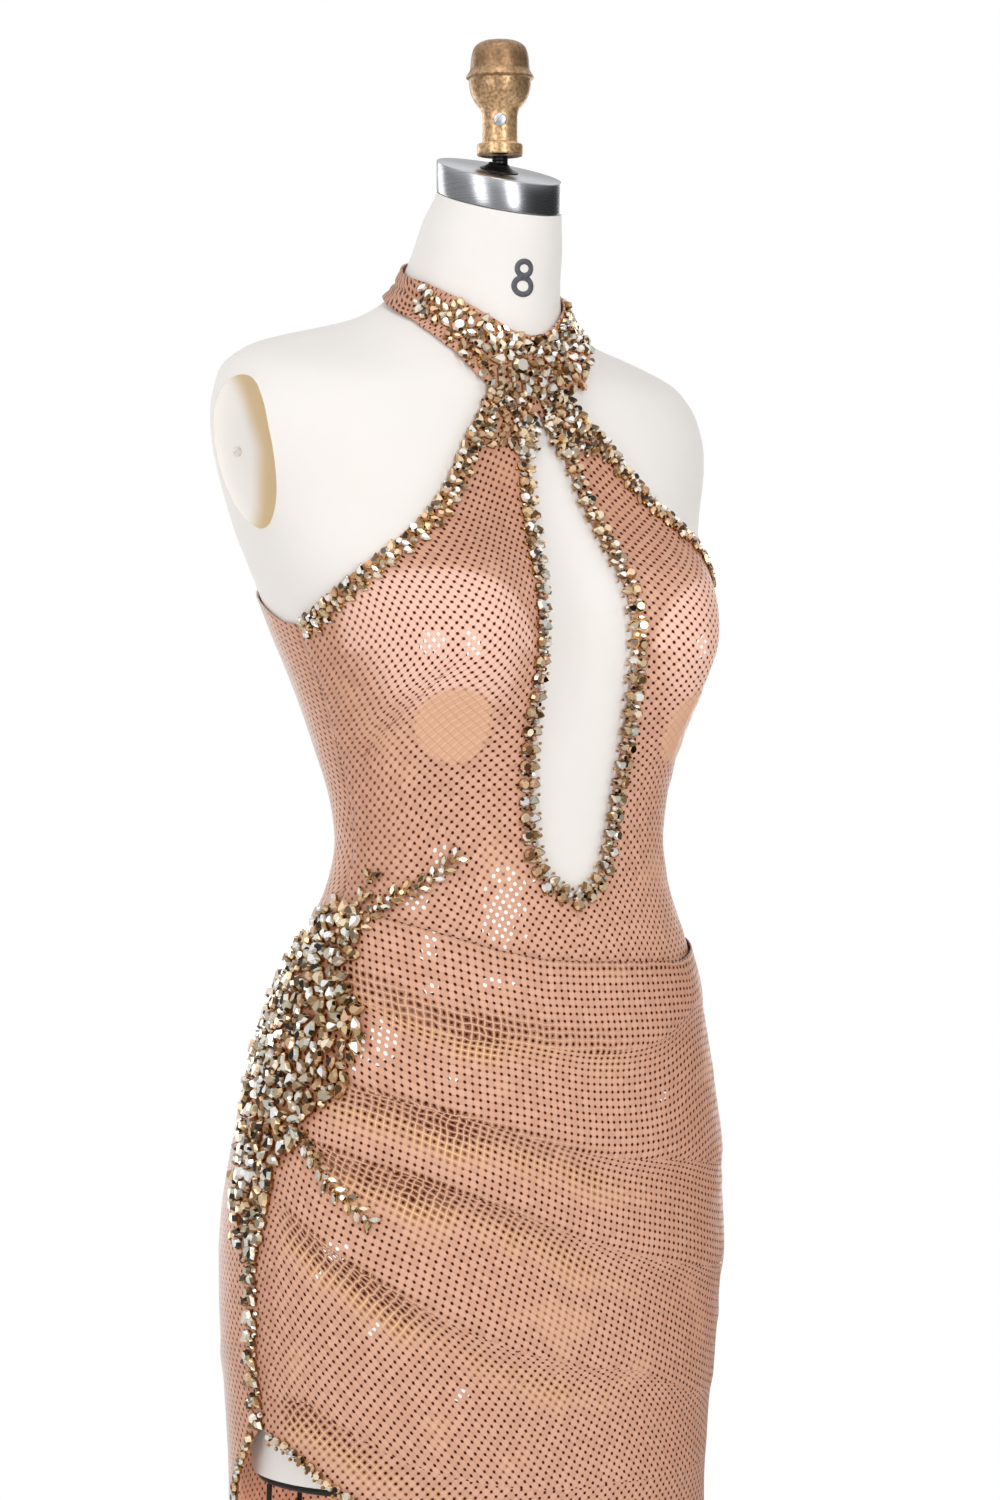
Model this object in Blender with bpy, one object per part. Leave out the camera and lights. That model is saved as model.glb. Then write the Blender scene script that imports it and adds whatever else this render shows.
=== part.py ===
"""Halter maxi dress on a limbless dress form. Metres, +Z up, the form faces -Y."""

import bpy
import bmesh
import math
import numpy as np

for old in list(bpy.data.objects):
    bpy.data.objects.remove(old, do_unlink=True)

# Driving sizes, in millimetres.
clothWall = 1.2
clothGap = 1.2
collarWall = 2.0
trimWidth = 12.0
trimThick = 2.4
trimLift = 0.7
formBottom = 624.0
neckTop = 1493.6
capTop = 1515.5
capRadius = 43.2
hemHeight = 20.0
baseRadius = 165.0
baseThick = 12.0
poleRadius = 12.5
cageTopHeight = 621.0
cageBottomHeight = 330.0
wireRadius = 2.4
wireCount = 8
cameraSide = -35.0

# The form: level of each section, forward tilt in degrees, half width, depth in
# front and behind, centre depth, and how square the front and back halves are.
formSections = np.array([
    # level, tilt, half width, front, back, centre, front square, back square
    [1516, 17.5, 43.0, 43.0, 43.0, 1, 2.0, 2.0],
    [1494, 17.5, 43.0, 43.0, 43.0, 1, 2.0, 2.0],
    [1470, 21.0, 48.5, 44.0, 51.0, 7, 2.0, 2.0],
    [1448, 24.0, 51, 49, 53, 15, 2.0, 2.0],
    [1430, 25.0, 55.5, 54, 56, 20, 2.0, 2.0],
    [1417, 24.5, 65.5, 57, 57, 21, 2.0, 2.0],
    [1406, 23.5, 85, 60, 57, 21, 2.0, 2.0],
    [1397, 22.0, 109, 63, 58, 24, 2.1, 2.1],
    [1391, 20.5, 136, 68, 62, 29, 2.2, 2.2],
    [1384, 18.5, 160.5, 73, 73, 34, 2.3, 2.4],
    [1371, 16.0, 178, 81, 90, 39, 2.4, 2.7],
    [1350, 13.0, 187, 89, 102, 40, 2.4, 2.7],
    [1320, 10.0, 188, 96, 105, 39, 2.3, 2.7],
    [1290, 7.0, 182, 103, 108, 36, 2.1, 2.6],
    [1262, 4.0, 172, 109, 109, 31, 2.1, 2.7],
    [1235, 2.0, 163, 113, 109, 25, 2.2, 2.6],
    [1200, 0.0, 151, 110, 109, 18, 2.3, 2.5],
    [1160, 0.0, 138, 102, 104, 11, 2.3, 2.4],
    [1120, 0.0, 128, 94, 97, 5, 2.3, 2.3],
    [1080, 0.0, 121, 85, 87, 0, 2.2, 2.2],
    [1050, 0.0, 119, 82, 84, -1, 2.2, 2.2],
    [1020, 0.0, 125, 86, 88, 1, 2.2, 2.2],
    [985, 0.0, 139, 99, 102, 6, 2.2, 2.2],
    [940, 0.0, 155, 110, 117, 13, 2.2, 2.2],
    [895, 0.0, 166, 118, 130, 18, 2.2, 2.2],
    [850, 0.0, 173, 123, 138, 21, 2.2, 2.2],
    [800, 0.0, 176, 125, 141, 23, 2.2, 2.2],
    [740, 0.0, 174, 123, 138, 25, 2.2, 2.2],
    [680, 0.0, 168, 117, 130, 27, 2.2, 2.2],
    [624, 0.0, 162, 112, 120, 29, 2.2, 2.2],
    [560, 0.0, 160, 110, 116, 30, 2.2, 2.2],
])
# The skirt's outside, in the same columns, down to the hem.
skirtSections = np.array([
    # level, tilt, half width, front, back, centre, front square, back square
    [1020, 0.0, 128, 90, 92, 1, 2.2, 2.2],
    [985, 0.0, 143, 103, 106, 6, 2.2, 2.2],
    [940, 0.0, 159, 115, 122, 14, 2.2, 2.2],
    [895, 0.0, 170, 123, 135, 19, 2.2, 2.2],
    [850, 0.0, 177, 128, 143, 22, 2.2, 2.2],
    [800, 0.0, 182, 131, 151, 26, 2.2, 2.2],
    [740, 0.0, 182, 132, 151, 29, 2.2, 2.2],
    [680, 0.0, 177, 129, 147, 32, 2.2, 2.2],
    [624, 0.0, 174, 125, 142, 33, 2.2, 2.2],
    [560, 0.0, 174, 125, 142, 33, 2.2, 2.2],
    [400, 0.0, 188, 146, 162, 30, 2.2, 2.2],
    [200, 0.0, 212, 182, 194, 26, 2.1, 2.1],
    [20, 0.0, 236, 214, 226, 22, 2.0, 2.0],
])
bust = {"side": 97, "level": 1190, "out": 40, "wide": 54, "above": 90, "below": 58}

# Edges drawn on the figure, each point as (degrees from the front, level).
# They are given for the wearer's left and mirrored for the right.
keyholeEdge = [
    (0, 1369), (4, 1358), (8.5, 1346), (10.5, 1322), (12, 1298), (15.5, 1250),
    (18.5, 1210), (20.5, 1164), (22, 1120), (22, 1080), (19.5, 1048), (13, 1028), (6, 1020), (0, 1017),
]
halterEdge = [
    (25, 1382), (30, 1362), (36.5, 1340), (44, 1306), (54, 1273), (64, 1246),
    (74, 1224), (84, 1207), (89.85, 1201),
]
# The wearer's left strap is a little narrower where it meets the collar.
halterEdgeLeft = [(20, 1382), (26, 1362), (33.5, 1340), (42, 1306), (53, 1273)] + halterEdge[5:]
overlayTop = [
    (-89.85, 1014), (-64, 1000), (-50, 992), (-35, 983), (-17, 976), (0, 974),
    (17, 973), (50, 971), (68, 979), (89.85, 992),
]
backTop = [(90, 1201), (97, 1203), (103, 1210), (112, 1221), (130, 1234), (155, 1240), (180, 1241)]
collarTop = [(0, 1424), (14, 1426), (27, 1431), (40, 1435), (55, 1438), (80, 1439), (110, 1434), (180, 1432)]
collarBottom = [
    (0, 1383), (12, 1383), (25, 1385), (39, 1396), (50, 1405), (64, 1411),
    (78, 1414), (103, 1413), (140, 1412), (180, 1412),
]
# The wearer's right side, below the slit's top.
slitFrontEdge = [
    (-89.85, 659), (-86, 657), (-82, 654), (-77, 646), (-72.5, 636), (-68, 627), (-64, 619),
    (-60, 608), (-56, 590), (-53, 568), (-50.5, 538), (-48.5, 500), (-47, 440), (-46, 300), (-46, 20),
]
slitBackEdge = [
    (-90, 659), (-92, 654), (-95.5, 641), (-99, 628), (-101.5, 610), (-103, 580),
    (-104, 520), (-104.5, 400), (-104.5, 20),
]
# Folds of the draped skirt, highest at each line: line, height out, reach above and below it.
folds = [
    {"line": [(66, 950), (53, 947), (30, 926), (3, 920), (-25, 928), (-50, 938), (-70, 958), (-82, 966)],
     "out": 4.5, "above": 24, "below": 10},
    {"line": [(88, 860), (64, 839), (32, 844), (-3, 854), (-24, 868), (-45, 884), (-64, 898), (-82, 906)],
     "out": 5.5, "above": 28, "below": 11},
    {"line": [(88, 780), (51, 766), (32, 774), (0, 794), (-24, 816), (-53, 844), (-62, 851), (-82, 872)],
     "out": 5.5, "above": 30, "below": 12},
    {"line": [(88, 690), (49, 680), (18, 704), (-5, 713), (-30, 732), (-47, 755), (-62, 782), (-82, 822)],
     "out": 5.0, "above": 32, "below": 12},
    {"line": [(88, 650), (53, 629), (16, 628), (-21, 632), (-50, 652), (-74, 690)],
     "out": 2.5, "above": 34, "below": 18},
]
hipRows = [
    # level, edge towards the back, edge towards the front (degrees)
    (988, -99, -84), (965, -98, -78), (942, -98, -70), (924, -98, -65), (908, -98, -69),
    (894, -100, -69), (878, -101, -71), (860, -98, -76), (842, -95, -81),
]
hipBranchUp = [(-76, 996), (-72, 1012), (-66, 1021), (-60, 1028), (-55, 1038), (-52, 1044)]
hipBranchDown = [(-74, 848), (-71, 837), (-68, 826), (-63.5, 817), (-60, 807)]
sideLine = [(-88.5, 836), (-89.5, 800), (-91, 770), (-90.5, 742), (-91.5, 706), (-90, 668)]

materialLooks = {
    # slot: base colour, metallic, roughness
    "form_cover": ((0.86, 0.83, 0.79), 0.0, 0.55),
    "cap_steel": ((0.55, 0.55, 0.56), 1.0, 0.3),
    "finial_gold": ((0.42, 0.26, 0.10), 1.0, 0.45),
    "black_metal": ((0.01, 0.01, 0.012), 0.6, 0.4),
    "screw_zinc": ((0.5, 0.52, 0.55), 1.0, 0.35),
    "tile_cloth": ((0.62, 0.36, 0.24), 0.1, 0.45),
    "stones": ((0.55, 0.45, 0.28), 0.3, 0.2),
    "base_iron": ((0.03, 0.03, 0.03), 0.5, 0.5),
}
materials = {}
for slot, (colour, metallic, roughness) in materialLooks.items():
    material = bpy.data.materials.new(slot)
    material.use_nodes = True
    shader = material.node_tree.nodes["Principled BSDF"]
    shader.inputs["Base Color"].default_value = (*colour, 1)
    shader.inputs["Metallic"].default_value = metallic
    shader.inputs["Roughness"].default_value = roughness
    materials[slot] = material


def columnAt(level, levels, values):
    """A smooth curve through a table's column."""
    level = np.clip(level, levels[0], levels[-1])
    index = np.clip(np.searchsorted(levels, level) - 1, 0, len(levels) - 2)
    slope = np.gradient(values, levels)
    step = levels[index + 1] - levels[index]
    part = (level - levels[index]) / step
    return (
        (2 * part**3 - 3 * part**2 + 1) * values[index]
        + (part**3 - 2 * part**2 + part) * step * slope[index]
        + (3 * part**2 - 2 * part**3) * values[index + 1]
        + (part**3 - part**2) * step * slope[index + 1]
    )


def sectionPoint(level, degrees, table):
    rising = table[::-1]
    tilt, halfWidth, front, back, centre, squareFront, squareBack = (
        columnAt(level, rising[:, 0], rising[:, k]) for k in range(1, 8)
    )
    angle = np.radians(degrees)
    across = np.sin(angle)
    forward = np.cos(angle)
    depth = np.where(forward > 0, front, back)
    square = np.where(forward > 0, squareFront, squareBack)
    radius = (np.abs(across / halfWidth) ** square + np.abs(forward / depth) ** square) ** (-1 / square)
    x = radius * across
    y = -radius * forward
    spread = np.where(level > bust["level"], bust["above"], bust["below"])
    swell = np.exp(-(((np.abs(x) - bust["side"]) / bust["wide"]) ** 2) - ((level - bust["level"]) / spread) ** 2)
    y = y - bust["out"] * swell * np.clip(forward * 1.6, 0, 1)
    z = level + y * np.tan(np.radians(tilt))
    return np.stack([x, y + centre, z], -1)


def outward(surface, level, degrees):
    alongAngle = surface(level, degrees + 0.1) - surface(level, degrees - 0.1)
    alongLevel = surface(level + 0.4, degrees) - surface(level - 0.4, degrees)
    normal = np.cross(alongAngle, alongLevel)
    return normal / np.linalg.norm(normal, axis=-1, keepdims=True)


def formSurface(level, degrees):
    return sectionPoint(level, degrees, formSections)


def smoothStep(value):
    value = np.clip(value, 0, 1)
    return value * value * (3 - 2 * value)


def raisedForm(level, degrees, out):
    return formSurface(level, degrees) + outward(formSurface, level, degrees) * out


def dressBlend(level, degrees, out):
    """The form raised by out at the waist, running into the skirt's own sections below it."""
    share = smoothStep((985 - level) / 55)[..., None]
    return raisedForm(level, degrees, out) * (1 - share) + sectionPoint(level, degrees, skirtSections) * share


def bodiceSurface(level, degrees):
    return raisedForm(level, degrees, clothGap + clothWall)


def backSurface(level, degrees):
    return dressBlend(level, degrees, clothGap + clothWall)


def overlayBase(level, degrees):
    return dressBlend(level, degrees, clothGap + 2 * clothWall + 1.2)


def foldHeight(level, degrees):
    height = np.zeros_like(level, dtype=float)
    for fold in folds:
        line = np.array(sorted(fold["line"]), float)
        over = level - np.interp(degrees, line[:, 0], line[:, 1])
        reach = np.where(over > 0, fold["above"], fold["below"])
        ends = smoothStep((100 - degrees) / 84) * smoothStep((90 - degrees) / 22) * smoothStep((degrees + 82) / 18)
        height = height + fold["out"] * np.exp(-((over / reach) ** 2)) * ends
    return height


def overlaySurface(level, degrees):
    normal = outward(overlayBase, level, degrees)
    return overlayBase(level, degrees) + normal * foldHeight(level, degrees)[..., None]


def collarSurface(level, degrees):
    return raisedForm(level, degrees, clothGap + collarWall)


def addSolid(name, points, faces, slot):
    mesh = bpy.data.meshes.new(name)
    mesh.from_pydata([tuple(point * 0.001) for point in np.asarray(points, float)], [], faces)
    mesh.materials.append(materials[slot])
    part = bpy.data.objects.new(name, mesh)
    bpy.context.scene.collection.objects.link(part)
    work = bmesh.new()
    work.from_mesh(mesh)
    bmesh.ops.recalc_face_normals(work, faces=work.faces)
    work.to_mesh(mesh)
    work.free()
    return part


def gridFaces(rows, columns, closedRound=False):
    faces = []
    for row in range(rows - 1):
        for column in range(columns if closedRound else columns - 1):
            nextColumn = (column + 1) % columns
            faces.append((
                row * columns + column,
                (row + 1) * columns + column,
                (row + 1) * columns + nextColumn,
                row * columns + nextColumn,
            ))
    return faces


def joinedGrids(grids):
    """Several (levels, degrees) grids as one sheet, sharing the points where they meet."""
    levels, degrees, faces, known = [], [], [], {}
    for gridLevels, gridDegrees in grids:
        rows, columns = gridLevels.shape
        index = []
        for level, degree in zip(gridLevels.ravel(), gridDegrees.ravel()):
            key = (round(float(level), 3), round(float(degree), 3) + 0.0)
            if key not in known:
                known[key] = len(levels)
                levels.append(level)
                degrees.append(degree)
            index.append(known[key])
        for face in gridFaces(rows, columns):
            corners = list(dict.fromkeys(index[corner] for corner in face))
            if len(corners) > 2:
                faces.append(tuple(corners))
    return np.array(levels), np.array(degrees), faces


def addSheet(name, surface, levels, degrees, faces, wall, slot):
    """A closed sheet: the surface outside, the same points moved in by the wall inside."""
    outside = surface(levels, degrees)
    inside = outside - outward(surface, levels, degrees) * wall
    count = len(outside)
    edgeUse = {}
    for face in faces:
        for first, second in zip(face, face[1:] + face[:1]):
            edgeUse.setdefault(frozenset((first, second)), []).append((first, second))
    solidFaces = [tuple(face) for face in faces]
    solidFaces += [tuple(corner + count for corner in reversed(face)) for face in faces]
    for uses in edgeUse.values():
        if len(uses) == 1:
            first, second = uses[0]
            solidFaces.append((second, first, first + count, second + count))
    return addSolid(name, np.concatenate([outside, inside]), solidFaces, slot)


def resample(curve, shares, surface):
    """Points along a (degrees, level) curve on a surface, at shares of its length or a count of even steps."""
    curve = np.array(curve, float)
    fine = np.linspace(0, len(curve) - 1, 40 * len(curve))
    place = np.arange(len(curve), dtype=float)
    degrees = columnAt(fine, place, curve[:, 0])
    levels = columnAt(fine, place, curve[:, 1])
    points = surface(levels, degrees)
    run = np.concatenate([[0], np.cumsum(np.linalg.norm(np.diff(points, axis=0), axis=1))])
    wanted = np.linspace(0, 1, shares) if isinstance(shares, int) else np.asarray(shares)
    return np.interp(wanted * run[-1], run, degrees), np.interp(wanted * run[-1], run, levels)


def beside(surface, degrees, levels, distance):
    """The curve's points moved sideways along the surface by a distance."""
    points = surface(levels, degrees)
    tangent = np.gradient(points, axis=0)
    tangent /= np.linalg.norm(tangent, axis=1, keepdims=True)
    normal = outward(surface, levels, degrees)
    sideways = np.cross(normal, tangent) * distance
    alongAngle = (surface(levels, degrees + 0.1) - surface(levels, degrees - 0.1)) / 0.2
    alongLevel = (surface(levels + 0.4, degrees) - surface(levels - 0.4, degrees)) / 0.8
    moved = []
    for k in range(len(levels)):
        frame = np.stack([alongAngle[k], alongLevel[k]], 1)
        change = np.linalg.lstsq(frame, sideways[k], rcond=None)[0]
        moved.append((degrees[k] + change[0], levels[k] + change[1]))
    moved = np.array(moved)
    return moved[:, 0], moved[:, 1]


def lifted(surface, out):
    def raised(level, degrees):
        return surface(level, degrees) + outward(surface, level, degrees) * out
    return raised


def addRibbon(name, surface, curve, count, width, slot="stones"):
    degrees, levels = resample(curve, count, surface)
    sides = [beside(surface, degrees, levels, share * width) for share in (0.5, 0, -0.5)]
    gridDegrees = np.stack([side[0] for side in sides], 1)
    gridLevels = np.stack([side[1] for side in sides], 1)
    allLevels, allDegrees, faces = joinedGrids([(gridLevels, gridDegrees)])
    return addSheet(name, lifted(surface, trimLift + trimThick), allLevels, allDegrees, faces, trimThick, slot)


def addLathe(name, profile, slot, steps, centre=(0, 0), tilt=0.0):
    """A solid of revolution from (radius, height) points; its ends close on the axis."""
    angles = np.linspace(0, 2 * math.pi, steps, endpoint=False)
    points = []
    for radius, height in profile:
        for angle in angles:
            points.append((radius * math.cos(angle), radius * math.sin(angle), height))
    faces = gridFaces(len(profile), steps, closedRound=True)
    faces.append(tuple(range(steps)))
    faces.append(tuple(reversed(range((len(profile) - 1) * steps, len(profile) * steps))))
    points = np.array(points, float)
    middle = np.array([centre[0], centre[1], 0.0])
    lean = math.tan(math.radians(tilt))
    points[:, 2] += points[:, 1] * lean
    return addSolid(name, points + middle, faces, slot)


def addRod(name, start, end, radius, slot, steps=10):
    start = np.array(start, float)
    end = np.array(end, float)
    along = (end - start) / np.linalg.norm(end - start)
    helper = np.array([0, 0, 1.0]) if abs(along[2]) < 0.9 else np.array([1.0, 0, 0])
    first = np.cross(along, helper)
    first /= np.linalg.norm(first)
    second = np.cross(along, first)
    points = []
    for middle in (start, end):
        for step in range(steps):
            angle = 2 * math.pi * step / steps
            points.append(middle + radius * (first * math.cos(angle) + second * math.sin(angle)))
    faces = gridFaces(2, steps, closedRound=True)
    faces.append(tuple(range(steps)))
    faces.append(tuple(reversed(range(steps, 2 * steps))))
    return addSolid(name, points, faces, slot)


def addRing(name, path, radius, slot, steps=8):
    """A closed tube along a loop of points that lies near one level."""
    path = np.array(path, float)
    ahead = np.roll(path, -1, axis=0) - np.roll(path, 1, axis=0)
    ahead /= np.linalg.norm(ahead, axis=1, keepdims=True)
    up = np.array([0, 0, 1.0])
    side = np.cross(ahead, up)
    side /= np.linalg.norm(side, axis=1, keepdims=True)
    points = []
    for middle, across in zip(path, side):
        for step in range(steps):
            angle = 2 * math.pi * step / steps
            points.append(middle + radius * (across * math.cos(angle) + up * math.sin(angle)))
    count = len(path)
    faces = []
    for ring in range(count):
        for step in range(steps):
            following = (ring + 1) % count
            nextStep = (step + 1) % steps
            faces.append((
                ring * steps + step,
                following * steps + step,
                following * steps + nextStep,
                ring * steps + nextStep,
            ))
    return addSolid(name, points, faces, slot)


def mirrored(curve):
    return [(-degrees, level) for degrees, level in curve]


# The form's torso, closed, with an oval recess cut where each arm would be.
torsoLevels = [
    neckTop, 1480, 1465, 1450, 1438, 1428, 1419, 1411, 1404, 1398, 1392, 1386, 1378, 1367, 1353, 1336,
    1316, 1296, 1276, 1257, 1240, 1222, 1205, 1189, 1173, 1156, 1136, 1112, 1088, 1066, 1048, 1033, 1019,
    1005, 990, 974, 955, 933, 908, 880, 846, 805, 755, 700, 655, formBottom,
]
torsoColumns = 48
torsoDegrees = np.linspace(-180, 180, torsoColumns, endpoint=False)
levelGrid, degreeGrid = np.meshgrid(np.array(torsoLevels, float), torsoDegrees, indexing="ij")
torsoPoints = formSurface(levelGrid.ravel(), degreeGrid.ravel())
torsoFaces = gridFaces(len(torsoLevels), torsoColumns, closedRound=True)
torsoFaces.append(tuple(range(torsoColumns)))
lastRow = (len(torsoLevels) - 1) * torsoColumns
torsoFaces.append(tuple(reversed(range(lastRow, lastRow + torsoColumns))))
torso = addSolid("form_torso", torsoPoints, torsoFaces, "form_cover")

recess = {
    "level": 1318, "depth": 42, "half height": 57, "half length": 36, "deep": 15, "lean": -7, "slope": 0.07,
    "tilt": 0.2, "screw back": 16,
}
for side, label in ((-1, "right"), (1, "left")):
    ring = []
    for inset, grow in ((recess["deep"], 0.86), (recess["deep"] * 0.4, 1.0), (-16, 1.04)):
        for step in range(28):
            angle = 2 * math.pi * step / 28
            length = recess["half length"] * grow * math.cos(angle)
            height = recess["half height"] * grow * math.sin(angle)
            lean = height * math.tan(math.radians(recess["lean"]))
            back = length - lean
            reach = 187.5 - inset + height * recess["slope"] + back * (recess["tilt"] if inset > 0 else 0)
            ring.append((side * reach, recess["depth"] + back, recess["level"] + height))
    cutterFaces = gridFaces(3, 28, closedRound=True)
    cutterFaces.append(tuple(range(28)))
    cutterFaces.append(tuple(reversed(range(56, 84))))
    cutter = addSolid("recess_cutter_" + label, ring, cutterFaces, "form_cover")
    cutter.hide_render = True
    cutter.display_type = "WIRE"
    cut = torso.modifiers.new("recess_" + label, "BOOLEAN")
    cut.operation = "DIFFERENCE"
    cut.solver = "EXACT"
    cut.object = cutter
    back = recess["screw back"]
    seat = np.array([side * (187.5 - recess["deep"] + back * recess["tilt"]), recess["depth"] + back, recess["level"]])
    outwards = np.array([side, -recess["tilt"], -recess["slope"]])
    outwards = outwards / np.linalg.norm(outwards)
    addRod("arm_screw_" + label, seat + outwards * 0.3, seat + outwards * 1.6, 3.4, "screw_zinc", steps=14)

# Neck cap, washer, rod and finial.
lean = 17.5
addLathe(
    "neck_cap",
    [(capRadius - 0.8, 1494.0), (capRadius, 1494.8), (capRadius, capTop - 0.8), (capRadius - 0.8, capTop)],
    "cap_steel", 40, centre=(0, 1), tilt=lean,
)
addLathe("cap_washer", [(13.2, 1515.8), (13.2, 1517.4), (10, 1519.4)], "black_metal", 24, centre=(0, 1), tilt=lean)
addLathe(
    "finial",
    [
        (10.5, 1525.6), (15.2, 1526.2), (15.9, 1528.4), (15.9, 1532.6), (14.6, 1534), (14.4, 1535), (12.6, 1536.2),
        (12.3, 1546), (12.4, 1555), (14.2, 1559), (18.2, 1564), (21.3, 1569.5), (22.8, 1575.5),
        (23.5, 1577), (23.5, 1580), (21.4, 1581), (21.2, 1583), (22.2, 1584.2), (21.2, 1591), (18.6, 1598),
        (15.2, 1603), (10.5, 1605.4),
    ],
    "finial_gold", 24,
)
addRod("rod_top", (0, 0, 1521.5), (0, 0, 1525.3), 5.5, "black_metal", steps=16)
direction = np.array([math.sin(math.radians(cameraSide)), -math.cos(math.radians(cameraSide)), 0])
screwMiddle = direction * 12.75 + np.array([0, 0, 1549.0])
addRod("finial_screw", screwMiddle, screwMiddle + direction * 1.8, 4.5, "screw_zinc", steps=16)

# Pole, base plate and wire cage below the torso.
addLathe("pole", [(poleRadius, baseThick + 30.4), (poleRadius, formBottom - 0.4)], "black_metal", 20)
addLathe(
    "base_plate",
    [
        (baseRadius - 3, 0), (baseRadius, 3), (baseRadius, baseThick - 3), (baseRadius - 4, baseThick),
        (34, baseThick + 3), (22, baseThick + 10), (20, baseThick + 28), (17, baseThick + 30),
    ],
    "base_iron", 48,
)
loopDegrees = np.linspace(-180, 180, 36, endpoint=False)
for label, level, inset, height in (
    ("top", formBottom, 5.0, cageTopHeight), ("bottom", formBottom, -6.0, cageBottomHeight),
):
    loop = formSurface(np.full(36, level), loopDegrees)
    loop = loop - outward(formSurface, np.full(36, level), loopDegrees) * inset
    loop[:, 2] = height
    addRing("cage_ring_" + label, loop, wireRadius, "black_metal", steps=5)
for number in range(wireCount):
    degree = np.array([-98.0 + 360 * number / wireCount])
    foot = formSurface(np.array([formBottom]), degree)[0]
    normal = outward(formSurface, np.array([formBottom]), degree)[0]
    top = foot - normal * 5.0
    bottom = foot + normal * 6.0
    top[2] = cageTopHeight - wireRadius - 0.4
    bottom[2] = cageBottomHeight + wireRadius + 0.4
    addRod("cage_wire_" + str(number + 1), top, bottom, 1.9, "black_metal", steps=6)

# The collar: one band round the neck.
collarDegrees = np.linspace(-180, 180, 49)
mirroredDegrees = np.abs(collarDegrees)
upper = np.interp(mirroredDegrees, *np.array(collarTop, float).T)
lower = np.interp(mirroredDegrees, *np.array(collarBottom, float).T)
share = np.linspace(0, 1, 5)[:, None]
collarLevels = upper * (1 - share) + lower * share
collarGrid = np.repeat(collarDegrees[None], 5, axis=0)
collarGrid[:, -1] = -180
collarLevels[:, -1] = collarLevels[:, 0]
levels, degrees, faces = joinedGrids([(collarLevels, collarGrid)])
addSheet("collar", collarSurface, levels, degrees, faces, collarWall, "tile_cloth")

# The front bodice: two halves that meet above and below the keyhole.
bodiceColumns = 12
halves = []
for side in (-1, 1):
    lineLevels = np.array([level for degree, level in overlayTop], float)
    lineDegrees = np.array([degree for degree, level in overlayTop], float)
    seamLevel = float(np.interp(side * 89.85, lineDegrees, lineLevels)) - 8
    centreLevel = float(np.interp(0, lineDegrees, lineLevels)) - 8
    holeDegrees, holeLevels = resample(keyholeEdge, 23, bodiceSurface)
    holeDegrees[[0, -1]] = 0
    innerDegrees = np.concatenate([[0], np.maximum(holeDegrees, 0), [0, 0, 0]])
    innerLevels = np.concatenate([[1382.2], holeLevels, [1001, 984, centreLevel]])
    innerPoints = bodiceSurface(innerLevels, innerDegrees)
    run = np.concatenate([[0], np.cumsum(np.linalg.norm(np.diff(innerPoints, axis=0), axis=1))])
    outerCurve = (halterEdge if side < 0 else halterEdgeLeft) + [(89.85, 1160), (89.85, 1120), (89.85, 1080), (89.85, 1040), (89.85, seamLevel)]
    outerDegrees, outerLevels = resample(outerCurve, run / run[-1], bodiceSurface)
    outerDegrees = np.minimum(outerDegrees, 89.85)
    bodiceRows = len(innerDegrees)
    share = np.linspace(0, 1, bodiceColumns)[None]
    gridDegrees = innerDegrees[:, None] * (1 - share) + outerDegrees[:, None] * share
    gridLevels = innerLevels[:, None] * (1 - share) + outerLevels[:, None] * share
    sag = np.interp(side * gridDegrees[-1], lineDegrees, lineLevels) - 8 - gridLevels[-1]
    fade = smoothStep(np.linspace(-2.2, 1, bodiceRows))[:, None]
    gridLevels = gridLevels + sag[None] * fade
    halves.append((gridLevels, side * gridDegrees))
levels, degrees, faces = joinedGrids(halves)
addSheet("bodice_front", bodiceSurface, levels, degrees, faces, clothWall, "tile_cloth")

# The draped front skirt, its right edge running into the slit.
skirtLevels = np.array([
    975, 965, 952, 940, 931, 923, 914, 902, 888, 874, 863, 853, 844, 834, 820, 806, 794, 783, 772, 760, 746,
    730, 716, 704, 690, 674, 663, 659, 656, 651, 645, 637, 628, 618, 606, 590, 570, 545, 515, 470, 410, 330,
    230, 120, hemHeight,
], float)
skirtColumns = 21
frontEdge = np.array(sorted(slitFrontEdge, key=lambda point: point[1]), float)
rightDegrees = np.interp(skirtLevels, frontEdge[:, 1], frontEdge[:, 0], right=-89.85)
share = np.linspace(0, 1, skirtColumns)[None]
gridDegrees = rightDegrees[:, None] * (1 - share) + 89.85 * share
topLine = np.array(overlayTop, float)
rise = np.interp(gridDegrees, topLine[:, 0], topLine[:, 1]) - 975
fade = smoothStep((skirtLevels - 860) / 115)[:, None]
gridLevels = skirtLevels[:, None] + rise * fade
levels, degrees, faces = joinedGrids([(gridLevels, gridDegrees)])
addSheet("skirt_front", overlaySurface, levels, degrees, faces, clothWall, "tile_cloth")

# The back, one piece from its top edge to the hem.
backLevels = np.array([
    0, 16, 33, 51, 70, 90, 112, 136, 160, 182, 204, 228, 254, 282, 312, 344, 378, 414, 454, 496, 540, 562,
    585, 600, 616, 650, 700, 760, 840, 930, 1030, 1120, 1201 - hemHeight,
], float)
leftTop = np.array(backTop, float)
backEdge = np.array(sorted(slitBackEdge, key=lambda point: point[1]), float)
share = np.linspace(0, 1, 25)[None]
rowLevels = 1201 - backLevels
startDegrees = np.interp(rowLevels, backEdge[:, 1], -backEdge[:, 0], right=90)
gridDegrees = 90 * (1 - share) + (360 - startDegrees[:, None]) * share
folded = np.where(gridDegrees > 180, 360 - gridDegrees, gridDegrees)
rise = np.interp(folded, leftTop[:, 0], leftTop[:, 1]) - 1201
fade = smoothStep((rowLevels - 1060) / 141)[:, None]
gridLevels = rowLevels[:, None] + rise * fade
levels, degrees, faces = joinedGrids([(gridLevels, gridDegrees)])
addSheet("back_panel", backSurface, levels, degrees, faces, clothWall, "tile_cloth")

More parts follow.
